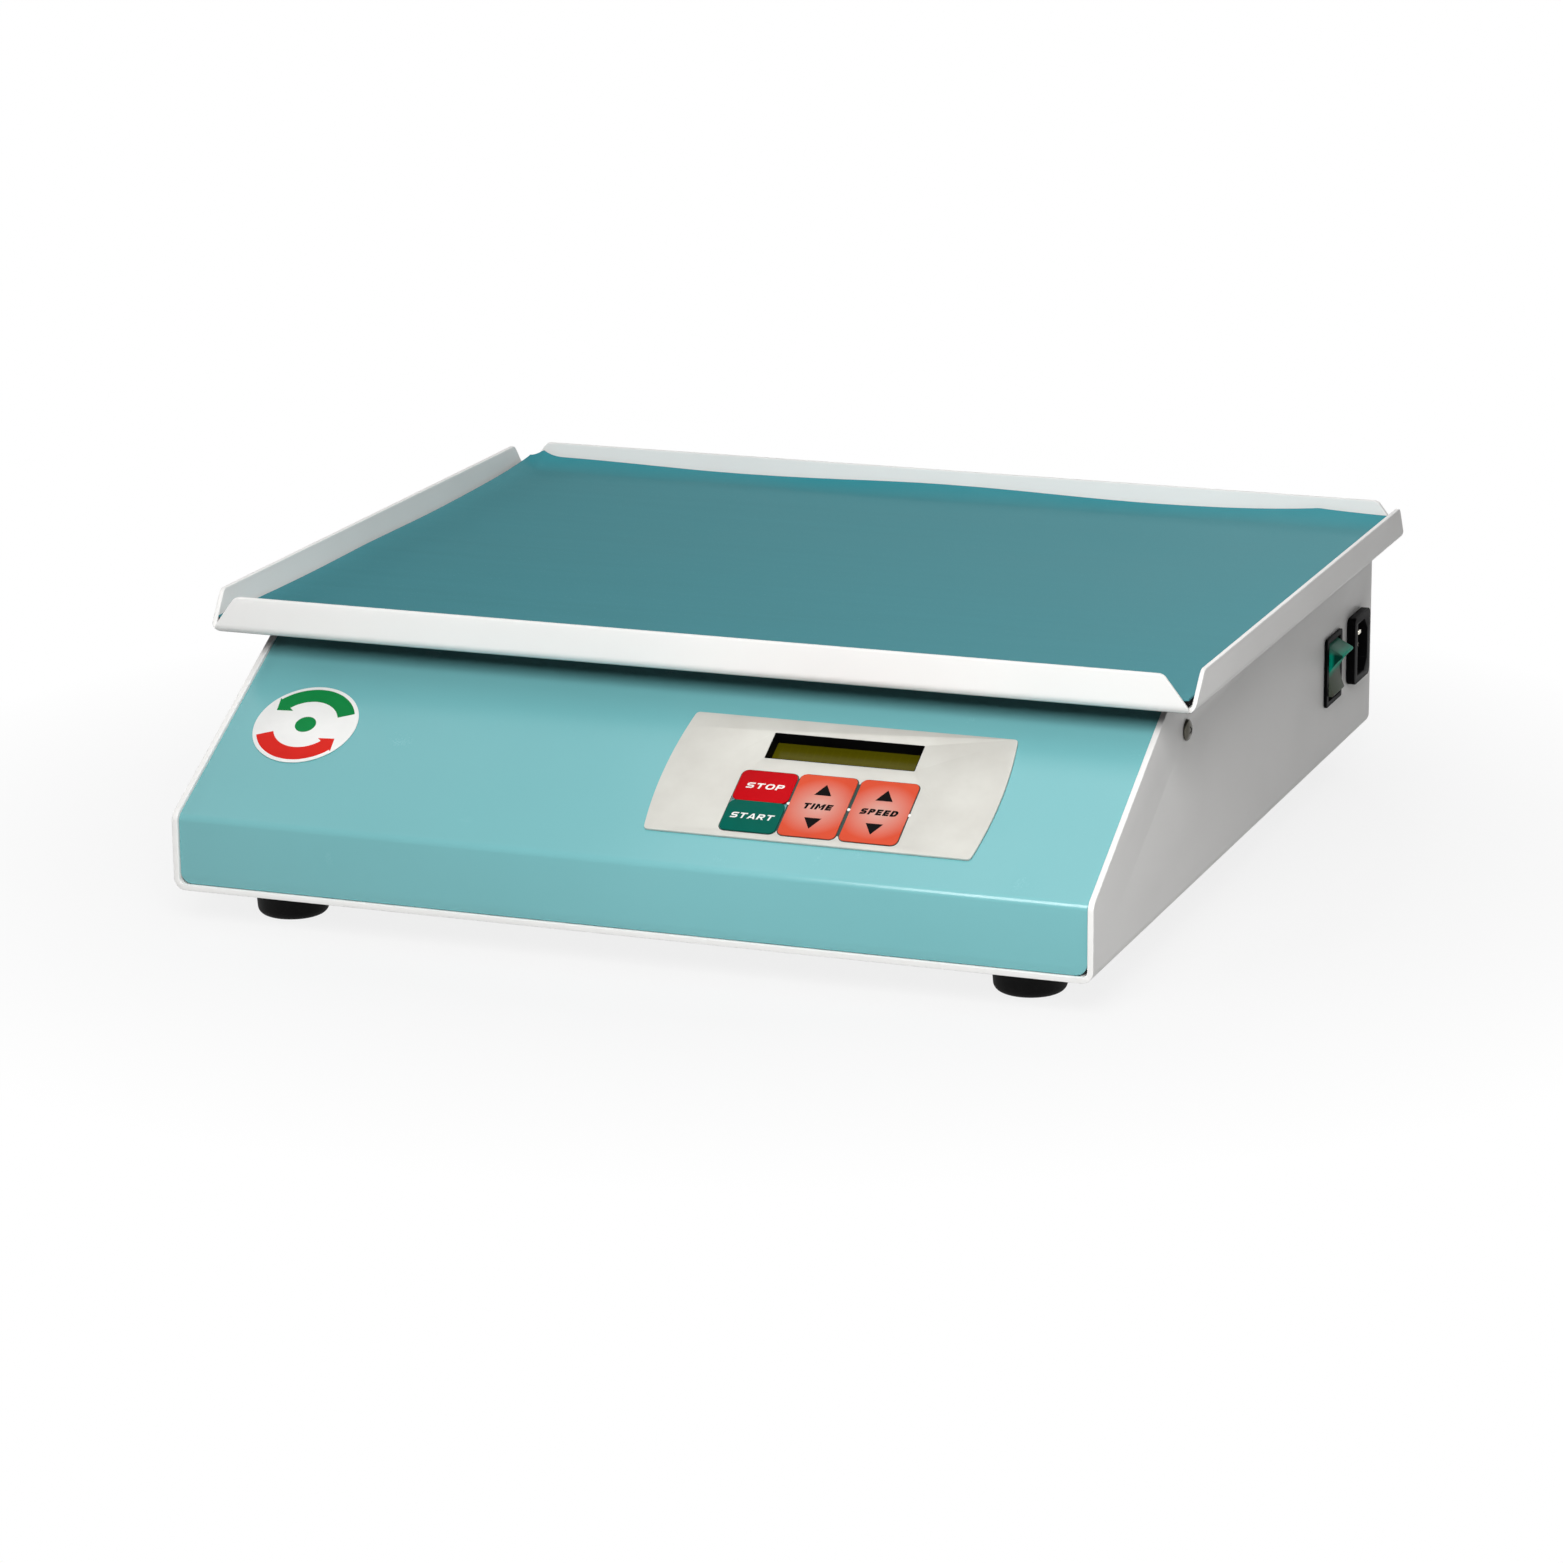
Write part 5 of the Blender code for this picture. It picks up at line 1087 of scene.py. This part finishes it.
def make_badge():
    """A round sticker with two printed arrows that turn about its middle."""
    centre = (-0.1628, 0.0594)
    top = 0.0006
    layer("badge_disc", ring(0.0229, 96, centre), 0.0002, top, "badge_white", ease=0.00012,
          hides=["round_badge"])
    inner, outer, steps = 0.0138, 0.0212, 32
    prints = {}
    for name, middle, finish in (("upper", pi / 2, "badge_green"), ("lower", -pi / 2, "badge_red")):
        first, last = middle - radians(66), middle + radians(50)
        angles = [first + (last - first) * step / steps for step in range(steps + 1)]
        shape = [polar(angle, outer, centre) for angle in angles]
        shape += [polar(last, outer + 0.0010, centre), polar(last + radians(17), (inner + outer) / 2, centre),
                  polar(last, inner - 0.0024, centre)]
        shape += [polar(angle, inner, centre) for angle in reversed(angles)]
        prints[f"badge_{name}_arrow"] = (finish, shape)
    prints["badge_middle"] = ("badge_green", ring(0.0046, 48, centre))
    for name, (finish, shape) in prints.items():
        layer(name, shape, top, top + 0.00004, finish)


# Mains switch and inlet

def make_mains():
    for node, name, ease in (("switch_housing", "switch_frame", 0.0005),
                             ("inlet_housing", "inlet_frame", 0.0006),
                             ("display_bezel", "display_frame", 0.0003)):
        piece = eased(linked(name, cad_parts[node].data.copy()), ease, 3)
        shown(piece, "black_plastic", hides=[node])
    for name, y, z, tip in (("line", 0.1782, 0.0532, 0.2014), ("neutral", 0.1782, 0.0672, 0.2034),
                            ("earth", 0.1822, 0.0602, 0.2014)):
        piece = solid(name + "_blade", rounded((y, z), 0.0040, 0.0020), 0.173, tip, "X")
        shown(eased(piece, 0.0005, 3), "bright_nickel", hides=["inlet_blade_" + name])


def make_rocker():
    """Two wings with round tips and a hollow front, the lower one pressed in."""
    tip, middle, steps = Vector((0.0074, 0.0096)), 0.0026, 16
    heel, back = (-0.0015, 0.0122), (-0.0050, 0.0040)
    wing = []
    for step in range(1, steps + 1):
        share = step / steps
        sag = 0.0007 * 4 * share * (1 - share)
        wing.append(Vector((tip.x + (middle - tip.x) * share - sag, tip.y * (1 - share))))
    upper = spots(corner_arc(Vector(heel), tip, wing[1], 0.0009, 8)) + wing[1:]
    front = upper + [Vector((point.x, -point.y)) for point in reversed(upper[:-1])]
    outline = front + [(heel[0], -heel[1]), (back[0], -back[1]), back, heel]
    place = Matrix.Translation((wall_x - 0.0010, ROCKER_Y, ROCKER_Z)) @ Matrix.Rotation(radians(12), 4, "Y")
    rocker = eased(solid("rocker_cap", outline, -ROCKER_HALF, ROCKER_HALF, "Y", place), 0.0004, 3, 40)
    shown(rocker, "green_plastic", body="rocker", hides=["rocker"])


def finish_inside():
    """CAD nodes whose own shape is right keep it, and get a real finish."""
    finishes = {
        "steel": ["mechanism_bridge", "drive_crank", *each("idler_crank_")],
        "aluminium": ["drive_bearing", "power_supply", "drive_pulley", "motor_pulley",
                      *each("idler_bearing_")],
        "brass": ["platform_hub_drive", *each("platform_hub_")],
        "motor_metal": ["motor"], "belt_rubber": ["drive_belt"], "circuit_board": ["controller_board"],
        "display": ["display_glass"], "red_film": ["stop_key"], "green_film": ["start_key"],
        "time_film": ["time_label", "time_up_key", "time_down_key"],
        "speed_film": ["speed_label", "speed_up_key", "speed_down_key"],
    }
    for finish, nodes in finishes.items():
        for node in nodes:
            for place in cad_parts[node].material_slots:
                place.material = looks[finish]


# Studio

def emptied(owner):
    """The recipe of a material or a world whose first nodes are cleared away."""
    owner.use_nodes = True
    owner.node_tree.nodes.clear()
    return Recipe(owner.node_tree)


def make_studio():
    """A white world and a floor that look white, light the object softly, and hold its shadow."""
    world = bpy.data.worlds.new("studio")
    bpy.context.scene.world = world
    recipe = emptied(world)
    ambient, white = [recipe.node("ShaderNodeBackground", {"Color": (1, 1, 1, 1), "Strength": strength})
                      for strength in (0.05, 1.0)]
    lit = recipe.node("ShaderNodeMixShader", {0: recipe.seen_directly(), 1: ambient, 2: white})
    recipe.end("ShaderNodeOutputWorld", lit)

    material = bpy.data.materials.new("studio_floor")
    recipe = emptied(material)
    matte = recipe.node("ShaderNodeBsdfDiffuse", {"Color": (0.56, 0.56, 0.56, 1)})
    glow = recipe.node("ShaderNodeEmission", {"Color": (1, 1, 1, 1), "Strength": 1.0})
    place = recipe.node("ShaderNodeTexCoord", output="Object")
    away = recipe.node("ShaderNodeVectorMath", {0: place}, "Value", operation="LENGTH")
    share = recipe.seen_directly() * recipe.ramp(away, 0.26, 0.46, 0.84, 1.0)
    recipe.end("ShaderNodeOutputMaterial", recipe.node("ShaderNodeMixShader", {0: share, 1: matte, 2: glow}))
    floor = solid("floor", ring(12.0, 64), -0.02, 0.0)
    floor.data.materials.append(material)

    for name, place, aim, size, power in (
            ("front_softbox", (0.345, -1.323, 1.065), (0.04, -0.10, 0.08), (0.9, 0.75), 25),
            ("top_softbox", (0.05, -0.20, 1.25), (0, 0, 0.08), (0.9, 0.9), 2.8),
            ("side_softbox", (1.10, -0.75, 0.75), (0, 0, 0.08), (0.6, 0.6), 1.6),
            ("left_softbox", (-1.70, 0.50, 0.50), (0, 0, 0.08), (0.9, 0.6), 7),
            ("rear_softbox", (0.15, 2.10, 1.20), (0, 0, 0.06), (1.2, 0.7), 9)):
        light = bpy.data.lights.new(name, "AREA")
        light.shape = "RECTANGLE"
        light.size, light.size_y = size
        light.energy = power
        lamp = linked(name, light)
        lamp.location = place
        lamp.rotation_euler = (Vector(aim) - Vector(place)).to_track_quat("-Z", "Y").to_euler()
    bpy.context.scene.view_settings.view_transform = "Standard"


for make in (make_pan, make_cover, make_fixings, make_tray, make_mat, make_overlay, make_keys, make_badge,
             make_mains, make_rocker, finish_inside, make_studio):
    make()
